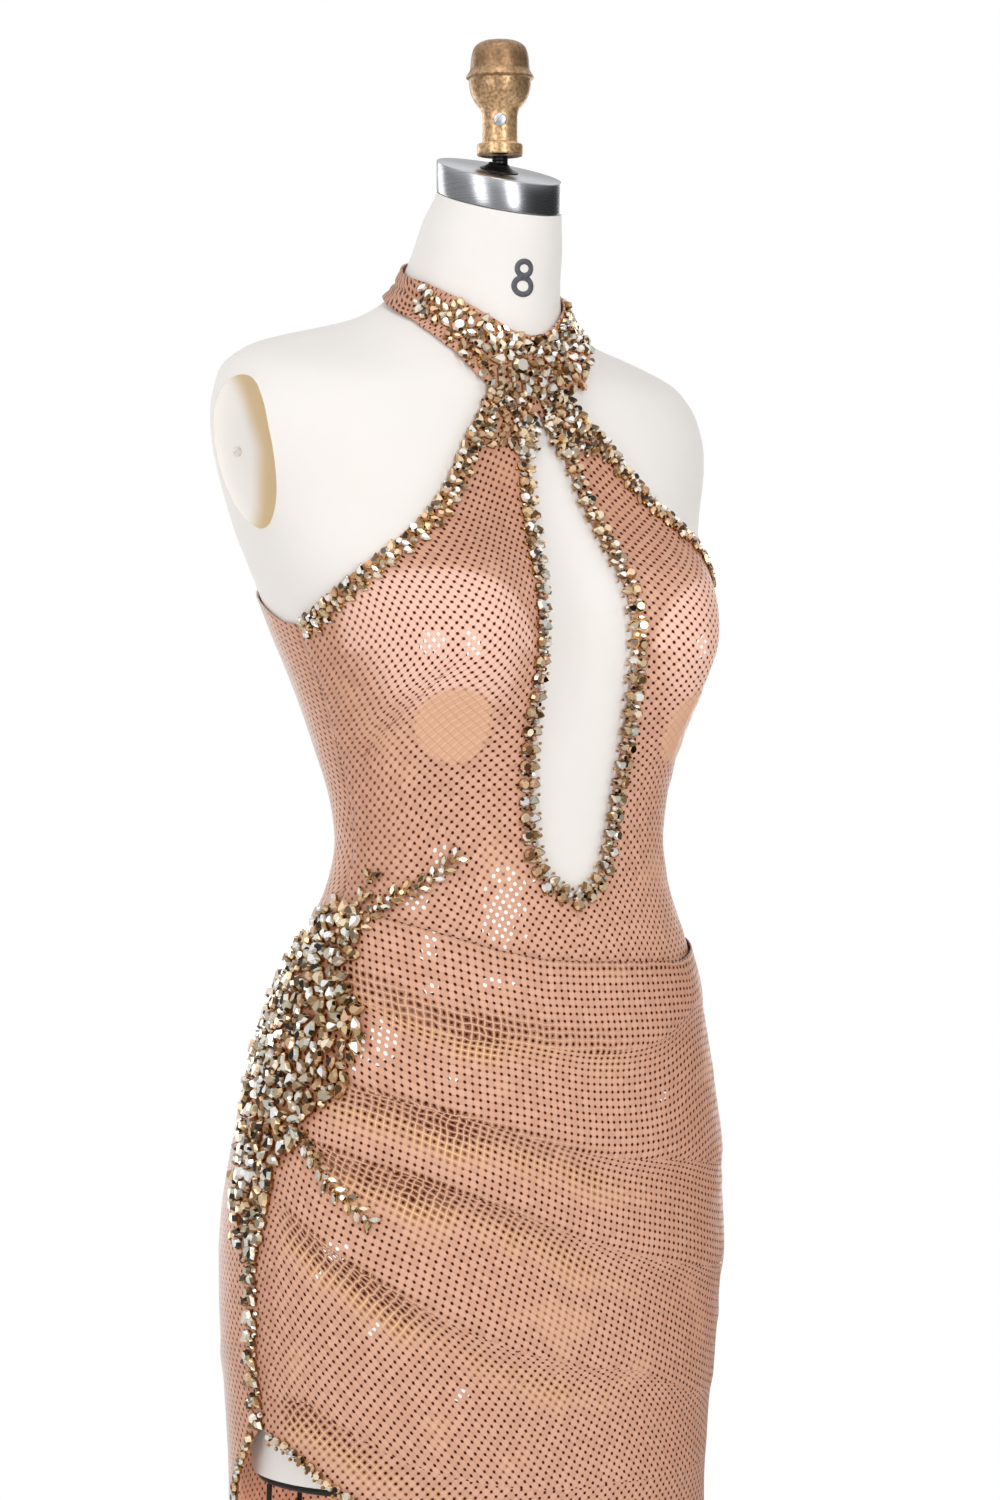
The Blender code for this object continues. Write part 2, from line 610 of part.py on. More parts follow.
# Bands that carry the stones: along the edges, on the collar and over the right hip.
keyholeBand = [(degree + 2.6, level) for degree, level in keyholeEdge[1:-2]]
loopBand = [(-degree, level) for degree, level in keyholeBand] + [(0, 1010)] + keyholeBand[::-1]
addRibbon("trim_keyhole", bodiceSurface, loopBand, 44, trimWidth)
for side, label in ((-1, "right"), (1, "left")):
    edge = halterEdge if side < 0 else halterEdgeLeft
    band = [(side * (degree - 1.6), level - 3) for degree, level in edge[:-1]]
    band[0] = (side * (edge[0][0] + 0.5), 1373)
    addRibbon("trim_halter_" + label, bodiceSurface, band, 20, trimWidth)
bandDegrees = np.linspace(-74, 74, 19)
middle = (
    np.interp(np.abs(bandDegrees), *np.array(collarTop, float).T)
    + np.interp(np.abs(bandDegrees), *np.array(collarBottom, float).T)
) / 2
addRibbon("trim_collar", collarSurface, list(zip(bandDegrees, middle)), 24, 20)

hip = np.array(hipRows, float)[::-1]
hipLevels = np.linspace(hip[0, 0], hip[-1, 0], 17)
hipBack = np.interp(hipLevels, hip[:, 0], hip[:, 1])[:, None]
hipFront = np.interp(hipLevels, hip[:, 0], hip[:, 2])[:, None]
share = np.linspace(0, 1, 7)[None]
gridDegrees = hipBack * (1 - share) + hipFront * share
gridLevels = np.repeat(hipLevels[:, None], 7, axis=1)
levels, degrees, faces = joinedGrids([(gridLevels, gridDegrees)])
hipSurface = lifted(overlaySurface, trimLift + trimThick + 0.4)
addSheet("trim_hip", hipSurface, levels, degrees, faces, trimThick, "stones")
addRibbon("trim_hip_upper", lifted(overlaySurface, 0.2), hipBranchUp, 8, 10)
addRibbon("trim_hip_lower", lifted(overlaySurface, 0.2), hipBranchDown, 8, 10)
addRibbon("trim_side", lifted(overlaySurface, 0.2), sideLine, 12, 10)
frontBand = [(degree + 2.0, level - 2) for degree, level in slitFrontEdge[2:-1]] + [(-44.4, 26)]
addRibbon("trim_slit_front", lifted(overlaySurface, 0.1), frontBand, 30, 10)
backBand = [(degree - 1.6, level - 1) for degree, level in slitBackEdge[2:-1]] + [(-105.6, 26)]
addRibbon("trim_slit_back", backSurface, backBand, 28, 10)
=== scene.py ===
import math
import random
import bpy
import bmesh
import numpy as np
from mathutils import Matrix, Vector
from mathutils.kdtree import KDTree


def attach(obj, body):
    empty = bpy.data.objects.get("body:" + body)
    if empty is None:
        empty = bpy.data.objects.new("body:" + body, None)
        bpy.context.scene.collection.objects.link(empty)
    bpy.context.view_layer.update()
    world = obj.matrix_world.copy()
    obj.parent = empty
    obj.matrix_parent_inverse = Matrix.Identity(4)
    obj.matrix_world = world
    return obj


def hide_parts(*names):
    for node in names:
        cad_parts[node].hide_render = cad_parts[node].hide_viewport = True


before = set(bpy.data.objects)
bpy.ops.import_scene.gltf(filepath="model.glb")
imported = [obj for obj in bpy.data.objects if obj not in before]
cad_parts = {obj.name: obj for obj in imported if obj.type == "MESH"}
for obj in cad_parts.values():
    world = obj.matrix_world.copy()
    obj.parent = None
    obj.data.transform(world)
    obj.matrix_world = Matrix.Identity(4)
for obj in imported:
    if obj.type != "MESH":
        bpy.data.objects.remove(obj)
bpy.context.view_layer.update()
mm = 0.001  # the figure is worked out in millimetres and placed in metres


def hexColour(code):
    channels = [int(code[k:k + 2], 16) / 255 for k in (1, 3, 5)]
    return tuple(c / 12.92 if c <= 0.04045 else ((c + 0.055) / 1.055) ** 2.4 for c in channels) + (1.0,)


def addNode(tree, kind, inputs=None, output=0, **settings):
    # returns one of the new node's outputs, for the next node's inputs
    node = tree.nodes.new("ShaderNode" + kind)
    for key, value in settings.items():
        setattr(node, key, value)
    for key, value in (inputs or {}).items():
        if isinstance(value, bpy.types.NodeSocket):
            tree.links.new(value, node.inputs[key])
        elif isinstance(value, str):
            node.inputs[key].default_value = hexColour(value)
        else:
            node.inputs[key].default_value = value
    return node.outputs[output]


def startMaterial(name, finish):
    material = bpy.data.materials.new(name)
    material.use_nodes = True
    shader = material.node_tree.nodes["Principled BSDF"]
    for socket, value in finish.items():
        shader.inputs[socket].default_value = value
    return material, material.node_tree, shader


def setRamp(ramp, stops, interpolation="LINEAR"):
    ramp.node.color_ramp.interpolation = interpolation
    elements = ramp.node.color_ramp.elements
    while len(elements) < len(stops):
        elements.new(0.5)
    for element, (place, code) in zip(elements, stops):
        element.position = place
        element.color = hexColour(code)


def takeMesh(work, name):
    mesh = bpy.data.meshes.new(name)
    work.to_mesh(mesh)
    work.free()
    return mesh


def setField(mesh, name, domain, values):
    mesh.attributes.new(name, "FLOAT", domain).data.foreach_set("value", values)


def addObject(name, data):
    item = bpy.data.objects.new(name, data)
    bpy.context.scene.collection.objects.link(item)
    return item


def finishPiece(work, name, materials, nodes, sharpAngle=35):
    mesh = takeMesh(work, name)
    for material in materials:
        mesh.materials.append(material)
    if sharpAngle:
        mesh.shade_smooth()
        mesh.set_sharp_from_angle(angle=math.radians(sharpAngle))
    piece = addObject(name, mesh)
    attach(piece, "root")
    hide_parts(*nodes)
    return piece


def thicken(piece, wall):
    # the wall grows inwards from the modelled side
    shell = piece.modifiers.new("thickness", "SOLIDIFY")
    shell.thickness = wall * mm
    shell.offset = -1


def placedGrid(work, points):
    # a grid of faces with a vertex at each point; returns each vertex's row and column
    rows, columns = points.shape[:2]
    made = bmesh.ops.create_grid(work, x_segments=columns - 1, y_segments=rows - 1, size=1)["verts"]
    spots = {}
    for vert in made:
        spot = (round((1 - vert.co.y) / 2 * (rows - 1)), round((vert.co.x + 1) / 2 * (columns - 1)))
        spots[vert] = spot
        vert.co = points[spot] * mm
    return spots


def closeGrid(work):
    bmesh.ops.remove_doubles(work, verts=work.verts, dist=1e-6)
    bmesh.ops.holes_fill(work, edges=[edge for edge in work.edges if edge.is_boundary], sides=0)
    bmesh.ops.recalc_face_normals(work, faces=work.faces)


# the figure, in the CAD's own sizes
clothWall = 1.2
clothGap = 1.2
collarWall = 2.0
capRadius = 43.2
capTop = 1515.5
neckTop = 1493.6
formBottom = 624.0
hemHeight = 20.0
cameraSide = -35.0
sideTop = 1201.0        # where the side seams start under the arms
skirtSway = 2.5         # how far the free skirt waves
seamDegree = 89.85      # the side seams, a hair short of the back's own edge
fallLevel = 560.0       # below this the skirt hangs free
bodyRadius = 140.0      # a mean radius, by which degrees become millimetres for spots and lines
creaseRadius = 150.0    # the same for creases and darts

formSections = np.array([
    # level, tilt, half width, front, back, centre, front square, back square
    [1516, 17.5, 43.0, 43.0, 43.0, 1, 2.0, 2.0],
    [1494, 17.5, 43.0, 43.0, 43.0, 1, 2.0, 2.0],
    [1470, 21.0, 48.5, 44.0, 51.0, 7, 2.0, 2.0],
    [1448, 24.0, 51, 49, 53, 15, 2.0, 2.0],
    [1430, 25.0, 55.5, 54, 56, 20, 2.0, 2.0],
    [1417, 24.5, 65.5, 57, 57, 21, 2.0, 2.0],
    [1406, 23.5, 85, 60, 57, 21, 2.0, 2.0],
    [1397, 22.0, 109, 63, 58, 24, 2.1, 2.1],
    [1391, 20.5, 136, 68, 62, 29, 2.2, 2.2],
    [1384, 18.5, 160.5, 73, 73, 34, 2.3, 2.4],
    [1371, 16.0, 178, 81, 90, 39, 2.4, 2.7],
    [1350, 13.0, 187, 89, 102, 40, 2.4, 2.7],
    [1320, 10.0, 188, 96, 105, 39, 2.3, 2.7],
    [1290, 7.0, 182, 103, 108, 36, 2.1, 2.6],
    [1262, 4.0, 172, 109, 109, 31, 2.1, 2.7],
    [1235, 2.0, 163, 113, 109, 25, 2.2, 2.6],
    [1200, 0.0, 151, 110, 109, 18, 2.3, 2.5],
    [1160, 0.0, 138, 102, 104, 11, 2.3, 2.4],
    [1120, 0.0, 128, 94, 97, 5, 2.3, 2.3],
    [1080, 0.0, 121, 85, 87, 0, 2.2, 2.2],
    [1050, 0.0, 119, 82, 84, -1, 2.2, 2.2],
    [1020, 0.0, 125, 86, 88, 1, 2.2, 2.2],
    [985, 0.0, 139, 99, 102, 6, 2.2, 2.2],
    [940, 0.0, 155, 110, 117, 13, 2.2, 2.2],
    [895, 0.0, 166, 118, 130, 18, 2.2, 2.2],
    [850, 0.0, 173, 123, 138, 21, 2.2, 2.2],
    [800, 0.0, 176, 125, 141, 23, 2.2, 2.2],
    [740, 0.0, 174, 123, 138, 25, 2.2, 2.2],
    [680, 0.0, 168, 117, 130, 27, 2.2, 2.2],
    [624, 0.0, 162, 112, 120, 29, 2.2, 2.2],
    [560, 0.0, 160, 110, 116, 30, 2.2, 2.2],
])
skirtSections = np.array([
    # level, tilt, half width, front, back, centre, front square, back square
    [1020, 0.0, 128, 90, 92, 1, 2.2, 2.2],
    [985, 0.0, 143, 103, 106, 6, 2.2, 2.2],
    [940, 0.0, 159, 115, 122, 14, 2.2, 2.2],
    [895, 0.0, 170, 123, 135, 19, 2.2, 2.2],
    [850, 0.0, 177, 128, 143, 22, 2.2, 2.2],
    [800, 0.0, 182, 131, 151, 26, 2.2, 2.2],
    [740, 0.0, 182, 132, 151, 29, 2.2, 2.2],
    [680, 0.0, 177, 129, 147, 32, 2.2, 2.2],
    [624, 0.0, 174, 125, 142, 33, 2.2, 2.2],
    [560, 0.0, 174, 125, 142, 33, 2.2, 2.2],
    [400, 0.0, 188, 146, 162, 30, 2.2, 2.2],
    [200, 0.0, 212, 182, 194, 26, 2.1, 2.1],
    [20, 0.0, 236, 214, 226, 22, 2.0, 2.0],
])
bust = {"side": 97, "level": 1190, "out": 40, "wide": 54, "above": 90, "below": 58}
keyholeEdge = [
    (0, 1369), (4, 1358), (8.5, 1346), (10.5, 1322), (12, 1298), (15.5, 1250),
    (18.5, 1210), (20.5, 1164), (22, 1120), (22, 1080), (19.5, 1048), (13, 1028), (6, 1020), (0, 1017),
]
halterEdge = [
    (25, 1382), (30, 1362), (36.5, 1340), (44, 1306), (54, 1273), (64, 1246),
    (74, 1224), (84, 1207), (seamDegree, 1201),
]
# the wearer's left strap is a little narrower where it meets the collar
halterEdgeLeft = [(20, 1382), (26, 1362), (33.5, 1340), (42, 1306), (53, 1273)] + halterEdge[5:]
overlayTop = [
    (-seamDegree, 1014), (-64, 1000), (-50, 992), (-35, 983), (-17, 976), (0, 974),
    (17, 973), (50, 971), (68, 979), (seamDegree, 992),
]
backTop = [(90, 1201), (97, 1203), (103, 1210), (112, 1221), (130, 1234), (155, 1240), (180, 1241)]
collarTop = [(0, 1424), (14, 1426), (27, 1431), (40, 1435), (55, 1438), (80, 1439), (110, 1434), (180, 1432)]
collarBottom = [
    (0, 1383), (12, 1383), (25, 1385), (39, 1396), (50, 1405), (64, 1411),
    (78, 1414), (103, 1413), (140, 1412), (180, 1412),
]
slitFrontEdge = [
    (-seamDegree, 659), (-86, 657), (-82, 654), (-77, 646), (-72.5, 636), (-68, 627), (-64, 619),
    (-60, 608), (-56, 590), (-53, 568), (-50.5, 538), (-48.5, 500), (-47, 440), (-46, 300), (-46, 20),
]
slitBackEdge = [
    (-90, 659), (-92, 654), (-95.5, 641), (-99, 628), (-101.5, 610), (-103, 580),
    (-104, 520), (-104.5, 400), (-104.5, 20),
]
folds = [
    {"line": [(66, 950), (53, 947), (30, 926), (3, 920), (-25, 928), (-50, 938), (-70, 958), (-82, 966)],
     "out": 4.5, "above": 24, "below": 10},
    {"line": [(88, 860), (64, 839), (32, 844), (-3, 854), (-24, 868), (-45, 884), (-64, 898), (-82, 906)],
     "out": 5.5, "above": 28, "below": 11},
    {"line": [(88, 780), (51, 766), (32, 774), (0, 794), (-24, 816), (-53, 844), (-62, 851), (-82, 872)],
     "out": 5.5, "above": 30, "below": 12},
    {"line": [(88, 690), (49, 680), (18, 704), (-5, 713), (-30, 732), (-47, 755), (-62, 782), (-82, 822)],
     "out": 5.0, "above": 32, "below": 12},
    {"line": [(88, 650), (53, 629), (16, 628), (-21, 632), (-50, 652), (-74, 690)],
     "out": 2.5, "above": 34, "below": 18},
]
hipOutline = np.array([
    # level, edge towards the back, edge towards the front (degrees)
    (776, -95, -88), (790, -98, -87), (812, -100, -86), (824, -101, -85), (836, -102, -84), (851, -103, -80),
    (864, -103, -78), (878, -104, -73), (888, -105, -68), (911, -105, -67.5), (922, -105, -65), (944, -106, -68),
    (960, -105, -73), (983, -103, -75), (1000, -97, -78), (1012, -92, -79),
], float).T
hipBranchUp = [(-76, 996), (-72, 1012), (-66, 1021), (-60, 1028), (-55, 1038), (-52, 1044)]
hipBranchShort = [(-80, 1004), (-78.5, 1020), (-78, 1030)]
hipBranchDown = [(-81, 868), (-77, 857), (-74, 848), (-71, 837), (-68, 826), (-63.5, 817), (-60, 807)]
sideLine = [(-88.5, 836), (-89.5, 800), (-91, 770), (-90.5, 742), (-91.5, 706), (-90, 668)]


def columnAt(level, levels, values):
    level = np.clip(level, levels[0], levels[-1])
    index = np.clip(np.searchsorted(levels, level) - 1, 0, len(levels) - 2)
    slope = np.gradient(values, levels)
    step = levels[index + 1] - levels[index]
    part = (level - levels[index]) / step
    return (
        (2 * part**3 - 3 * part**2 + 1) * values[index]
        + (part**3 - 2 * part**2 + part) * step * slope[index]
        + (3 * part**2 - 2 * part**3) * values[index + 1]
        + (part**3 - part**2) * step * slope[index + 1]
    )


def sectionPoint(level, degrees, table):
    rising = table[::-1]
    tilt, halfWidth, front, back, centre, squareFront, squareBack = (
        columnAt(level, rising[:, 0], rising[:, k]) for k in range(1, 8)
    )
    angle = np.radians(degrees)
    across, forward = np.sin(angle), np.cos(angle)
    depth = np.where(forward > 0, front, back)
    square = np.where(forward > 0, squareFront, squareBack)
    radius = (np.abs(across / halfWidth) ** square + np.abs(forward / depth) ** square) ** (-1 / square)
    x = radius * across
    y = -radius * forward
    spread = np.where(level > bust["level"], bust["above"], bust["below"])
    swell = np.exp(-(((np.abs(x) - bust["side"]) / bust["wide"]) ** 2) - ((level - bust["level"]) / spread) ** 2)
    y = y - bust["out"] * swell * np.clip(forward * 1.6, 0, 1)
    z = level + y * np.tan(np.radians(tilt))
    return np.stack([x, y + centre, z], -1)


def tangents(surface, level, degrees):
    alongAngle = (surface(level, degrees + 0.1) - surface(level, degrees - 0.1)) / 0.2
    alongLevel = (surface(level + 0.4, degrees) - surface(level - 0.4, degrees)) / 0.8
    return alongAngle, alongLevel


def unit(vectors):
    return vectors / np.linalg.norm(vectors, axis=-1, keepdims=True)


def outward(surface, level, degrees):
    return unit(np.cross(*tangents(surface, level, degrees)))


def formSurface(level, degrees):
    return sectionPoint(level, degrees, formSections)


def smoothStep(value):
    value = np.clip(value, 0, 1)
    return value * value * (3 - 2 * value)


def fade(values, start, width):
    # from 0 at the start to 1 a width further on, or further back when the width is negative
    return smoothStep((values - start) / width)


def raisedForm(level, degrees, out):
    return formSurface(level, degrees) + outward(formSurface, level, degrees) * out


def dressBlend(level, degrees, out):
    share = fade(level, 985, -55)[..., None]
    return raisedForm(level, degrees, out) * (1 - share) + sectionPoint(level, degrees, skirtSections) * share


def bodiceSurface(level, degrees):
    return raisedForm(level, degrees, clothGap + clothWall)


def backSurface(level, degrees):
    return dressBlend(level, degrees, clothGap + clothWall)


def overlayBase(level, degrees):
    return dressBlend(level, degrees, clothGap + 2 * clothWall + 1.2)


def foldLine(fold, degrees):
    line = np.array(sorted(fold["line"]), float)
    return columnAt(degrees, line[:, 0], line[:, 1])


def foldHeight(level, degrees):
    height = np.zeros_like(level, dtype=float)
    ends = fade(degrees, 100, -84) * fade(degrees, 90, -22) * fade(degrees, -82, 18)
    for fold in folds:
        over = level - foldLine(fold, degrees)
        reach = np.where(over > 0, fold["above"], fold["below"])
        height = height + fold["out"] * np.exp(-((over / reach) ** 2)) * ends
    return height


def overlaySurface(level, degrees):
    normal = outward(overlayBase, level, degrees)
    return overlayBase(level, degrees) + normal * foldHeight(level, degrees)[..., None]


def collarSurface(level, degrees):
    return raisedForm(level, degrees, clothGap + collarWall)


def resample(curve, shares, surface):
    curve = np.array(curve, float)
    fine = np.linspace(0, len(curve) - 1, 40 * len(curve))
    place = np.arange(len(curve), dtype=float)
    degrees = columnAt(fine, place, curve[:, 0])
    levels = columnAt(fine, place, curve[:, 1])
    points = surface(levels, degrees)
    run = np.concatenate([[0], np.cumsum(np.linalg.norm(np.diff(points, axis=0), axis=1))])
    wanted = np.linspace(0, 1, shares) if isinstance(shares, int) else np.asarray(shares)
    return np.interp(wanted * run[-1], run, degrees), np.interp(wanted * run[-1], run, levels), run[-1]


# camera
cameraSet = {"distance": 2.8, "height": 1.116, "lens": 146.16}
cameraData = bpy.data.cameras.new("camera")
cameraData.sensor_fit = "HORIZONTAL"
cameraData.sensor_width = 36
cameraData.lens = cameraSet["lens"]
camera = addObject("camera", cameraData)
turn = math.radians(cameraSide)
camera.location = (
    cameraSet["distance"] * math.sin(turn), -cameraSet["distance"] * math.cos(turn), cameraSet["height"],
)
camera.rotation_euler = (math.pi / 2, 0, turn)
bpy.context.scene.camera = camera
print("camera set")

# materials
tileShape = {
    "pitch": 0.0051,  # metres from one tile's corner to the next
    # in tiles: a dot's radius, its growth in folds and in dense cloth, its soft edge, the ring round it
    "dot": 0.175, "dot in folds": 0.03, "dot in dense": 0.06, "dot edge": 0.05, "ring": 0.11,
    # how far the tiles stray when the cloth lies flat, and in folds
    "stray": 0.16, "stray in folds": 0.95,
    # how much a tile leans and how deep a dot lies, as shares of the relief in metres
    "lean": 0.9, "pit": 0.2, "relief": 0.00035,
}
# cloth colours; the darkening in folds, on the sides and under the hip's stones is partly painted shade, the white of
# the glints a painted highlight, and the pale band and the paler dots on the sides painted sheen
clothLook = {
    "tile": "#D9A991", "tile dark": "#CB9B83", "peach": "#E2B495", "cup": "#F2C6B3", "dense": "#A97459",
    "gap": "#BF8B70", "net dark": "#B98562", "net gold": "#E6BD92", "deep": "#774A35", "deep line": "#D6A788",
    "dot": "#3E1005", "soft dot": "#8A523A", "pale": "#E9DED8", "ring": "#AE6143", "seam": "#8A5C48",
    "glint": "#FFFFFF",
}
fieldNames = ("net", "deep", "veil", "cup", "glint", "dense", "seam", "soft", "pale")


def makeTileCloth():
    # satin tiles glued to stretch mesh: a soft sheen, dark holes where four corners meet
    material, tree, shader = startMaterial(
        "satinTileCloth",
        {"IOR": 1.5, "Specular IOR Level": 0.1, "Sheen Weight": 0.06, "Sheen Roughness": 0.2},
    )
    fields = {name: addNode(tree, "Attribute", attribute_name=name, output="Fac") for name in fieldNames}
    place = addNode(tree, "TexCoord", output="Object")
    uv = addNode(tree, "UVMap", uv_map="tiles")
    even = addNode(tree, "VectorMath", {0: uv, 3: 1 / tileShape["pitch"]}, operation="SCALE")
    # gathered cloth pushes the tiles out of line under the folds
    wander = addNode(tree, "TexNoise", {"Vector": even, "Scale": 0.55, "Detail": 1.0}, output="Color")
    pushed = addNode(tree, "VectorMath", {0: wander, 1: (0.5, 0.5, 0.5)}, operation="SUBTRACT")
    push = addNode(
        tree, "Math", {0: fields["deep"], 1: tileShape["stray in folds"], 2: tileShape["stray"]},
        operation="MULTIPLY_ADD",
    )
    pushes = addNode(tree, "VectorMath", {0: pushed, 3: push}, operation="SCALE")
    tiles = addNode(tree, "VectorMath", {0: even, 1: pushes}, operation="ADD")
    moved = addNode(tree, "VectorMath", {0: tiles, 1: (0.5, 0.5, 0.5)}, operation="ADD")
    inCell = addNode(tree, "VectorMath", {0: moved}, operation="FRACTION")
    corner = addNode(tree, "VectorMath", {0: inCell, 1: (0.5, 0.5, 0.5)}, operation="SUBTRACT")
    inTile = addNode(tree, "VectorMath", {0: tiles}, operation="FRACTION")
    middle = addNode(tree, "VectorMath", {0: inTile, 1: (0.5, 0.5, 0)}, operation="SUBTRACT")
    number = addNode(tree, "VectorMath", {0: tiles}, operation="FLOOR")
    chance = addNode(tree, "TexWhiteNoise", {0: number}, noise_dimensions="2D", output="Color")
    dotNumber = addNode(tree, "VectorMath", {0: moved}, operation="FLOOR")
    dotChance = addNode(tree, "TexWhiteNoise", {0: dotNumber}, noise_dimensions="2D", output="Value")
    chances = addNode(tree, "SeparateColor", {0: chance}).node.outputs

    # dots, which fade out in soft patches
    patches = addNode(tree, "TexNoise", {"Vector": place, "Scale": 21.0, "Detail": 2.0})
    patch = addNode(tree, "MapRange", {0: patches, 1: 0.62, 2: 0.7, 4: 0.5})
    hidden = addNode(tree, "Math", {0: patch, 1: fields["veil"]}, operation="MAXIMUM")
    shown = addNode(tree, "Math", {0: 1.0, 1: hidden}, operation="SUBTRACT")
    away = addNode(tree, "VectorMath", {0: corner}, operation="LENGTH", output="Value")
    grown = tileShape["dot"]
    for field, growth in (("deep", "dot in folds"), ("dense", "dot in dense")):
        grown = addNode(tree, "Math", {0: fields[field], 1: tileShape[growth], 2: grown}, operation="MULTIPLY_ADD")
    rim = addNode(tree, "Math", {0: grown, 1: tileShape["dot edge"]}, operation="ADD")
    dot = addNode(tree, "MapRange", {0: away, 1: rim, 2: grown}, interpolation_type="SMOOTHSTEP")
    dotShown = addNode(tree, "Math", {0: dot, 1: shown}, operation="MULTIPLY")
    # the tiles' own colour deepens round each hole
    around = addNode(tree, "Math", {0: grown, 1: tileShape["ring"]}, operation="ADD")
    ring = addNode(tree, "MapRange", {0: away, 1: around, 2: grown, 4: 0.8})
    ringShown = addNode(tree, "Math", {0: ring, 1: shown}, operation="MULTIPLY")

    # threads of the mesh between the tiles, and the gaps' faint lines
    size = addNode(tree, "VectorMath", {0: corner}, operation="ABSOLUTE")
    sizes = addNode(tree, "SeparateXYZ", {0: size}).node.outputs
    far = addNode(tree, "Math", {0: sizes[0], 1: sizes[1]}, operation="MAXIMUM")
    near = addNode(tree, "Math", {0: sizes[0], 1: sizes[1]}, operation="MINIMUM")
    wide = addNode(tree, "MapRange", {0: far, 1: 0.44, 2: 0.32}, interpolation_type="SMOOTHSTEP")
    thread = addNode(tree, "MapRange", {0: far, 1: 0.36, 2: 0.45}, interpolation_type="SMOOTHSTEP")
    gap = addNode(tree, "MapRange", {0: near, 1: 0.08, 2: 0.02, 4: 0.45})
    square = addNode(tree, "VectorMath", {0: middle}, operation="ABSOLUTE")
    squares = addNode(tree, "SeparateXYZ", {0: square}).node.outputs
    edge = addNode(tree, "Math", {0: squares[0], 1: squares[1]}, operation="MAXIMUM")
    ribs = addNode(tree, "Math", {0: squares[0], 1: 0.25, 2: 0.11}, operation="COMPARE")
    rib = addNode(tree, "Math", {0: ribs, 1: hidden}, operation="MULTIPLY")
    ribSoft = addNode(tree, "Math", {0: rib, 1: 0.35}, operation="MULTIPLY")

    netDark = addNode(tree, "Math", {0: wide, 1: fields["net"]}, operation="MULTIPLY")
    netGold = addNode(tree, "Math", {0: thread, 1: fields["net"]}, operation="MULTIPLY")
    # painted shade: under the folds the dots widen into dark brown cells
    foldShadeDot = addNode(tree, "Math", {0: wide, 1: fields["deep"]}, operation="MULTIPLY")
    deepBase = addNode(tree, "Math", {0: fields["deep"], 1: 0.8}, operation="MULTIPLY")
    # painted sheen: where the cloth turns to the sides its dots are painted paler
    softDot = addNode(tree, "Math", {0: dotShown, 1: fields["soft"]}, operation="MULTIPLY")
    seam = addNode(tree, "MapRange", {0: fields["seam"], 1: 1.2, 2: 0.3, 4: 0.7})
    # painted glints: a few dots in listed spots are painted white, as if they caught the light
    lit = addNode(tree, "Math", {0: dotChance, 1: 0.55, 2: fields["glint"]}, operation="MULTIPLY_ADD")
    litDot = addNode(tree, "Math", {0: lit, 1: 0.85}, operation="GREATER_THAN")
    shine = addNode(tree, "MapRange", {0: away, 1: 0.3, 2: 0.21}, interpolation_type="SMOOTHSTEP")
    glint = addNode(tree, "Math", {0: shine, 1: litDot}, operation="MULTIPLY")

    layer = addNode(
        tree, "Mix", {0: chances[0], 6: clothLook["tile"], 7: clothLook["tile dark"]}, data_type="RGBA", output=2,
    )
    for share, name in (
        (hidden, "peach"), (fields["cup"], "cup"), (fields["dense"], "dense"), (gap, "gap"), (ribSoft, "gap"),
        (netDark, "net dark"), (netGold, "net gold"), (deepBase, "deep line"), (foldShadeDot, "deep"),
        (ringShown, "ring"), (dotShown, "dot"), (softDot, "soft dot"), (seam, "seam"), (fields["pale"], "pale"),
        (glint, "glint"),
    ):
        layer = addNode(tree, "Mix", {0: share, 6: layer, 7: clothLook[name]}, data_type="RGBA", output=2)
    tree.links.new(layer, shader.inputs["Base Color"])

    # each tile leans its own way, so that one catches the light and its neighbour doesn't
    lean = addNode(tree, "VectorMath", {0: chance, 1: (0.5, 0.5, 0.5)}, operation="SUBTRACT")
    leaning = addNode(tree, "VectorMath", {0: middle, 1: lean}, operation="DOT_PRODUCT", output="Value")
    pillow = addNode(tree, "MapRange", {0: edge, 1: 0.5, 2: 0.34}, interpolation_type="SMOOTHSTEP")
    high = addNode(tree, "Math", {0: leaning, 1: tileShape["lean"], 2: pillow}, operation="MULTIPLY_ADD")
    pits = addNode(tree, "Math", {0: dotShown, 1: -tileShape["pit"], 2: high}, operation="MULTIPLY_ADD")
    bump = addNode(tree, "Bump", {"Height": pits, "Strength": 0.55, "Distance": tileShape["relief"]})
    tree.links.new(bump, shader.inputs["Normal"])
    rough = addNode(tree, "MapRange", {0: chances[1], 3: 0.3, 4: 0.46})
    tree.links.new(rough, shader.inputs["Roughness"])
    return material


def makeFormCover():
    # tight cotton jersey over a moulded torso: matt, off-white, with a fine knit
    material, tree, shader = startMaterial("cottonFormCover", {"Roughness": 0.75, "Sheen Weight": 0.1})
    place = addNode(tree, "TexCoord", output="Object")
    cloudy = addNode(tree, "TexNoise", {"Vector": place, "Scale": 9.0, "Detail": 3.0})
    mix = addNode(tree, "Mix", {0: cloudy, 6: "#EAE6E2", 7: "#E4DFDA"}, data_type="RGBA", output=2)
    # painted shade in the arm recesses: a warm tan
    paintedRecessShade = addNode(tree, "Attribute", attribute_name="paintedRecessShade", output="Fac")
    recessShaded = addNode(tree, "Mix", {0: paintedRecessShade, 6: mix, 7: "#D0B68C"}, data_type="RGBA", output=2)
    tree.links.new(recessShaded, shader.inputs["Base Color"])
    # the knit's loops are about 0.9 mm across
    weave = addNode(tree, "TexNoise", {"Vector": place, "Scale": 1100.0, "Detail": 1.0})
    bump = addNode(tree, "Bump", {"Height": weave, "Strength": 0.12, "Distance": 0.0004})
    tree.links.new(bump, shader.inputs["Normal"])
    return material


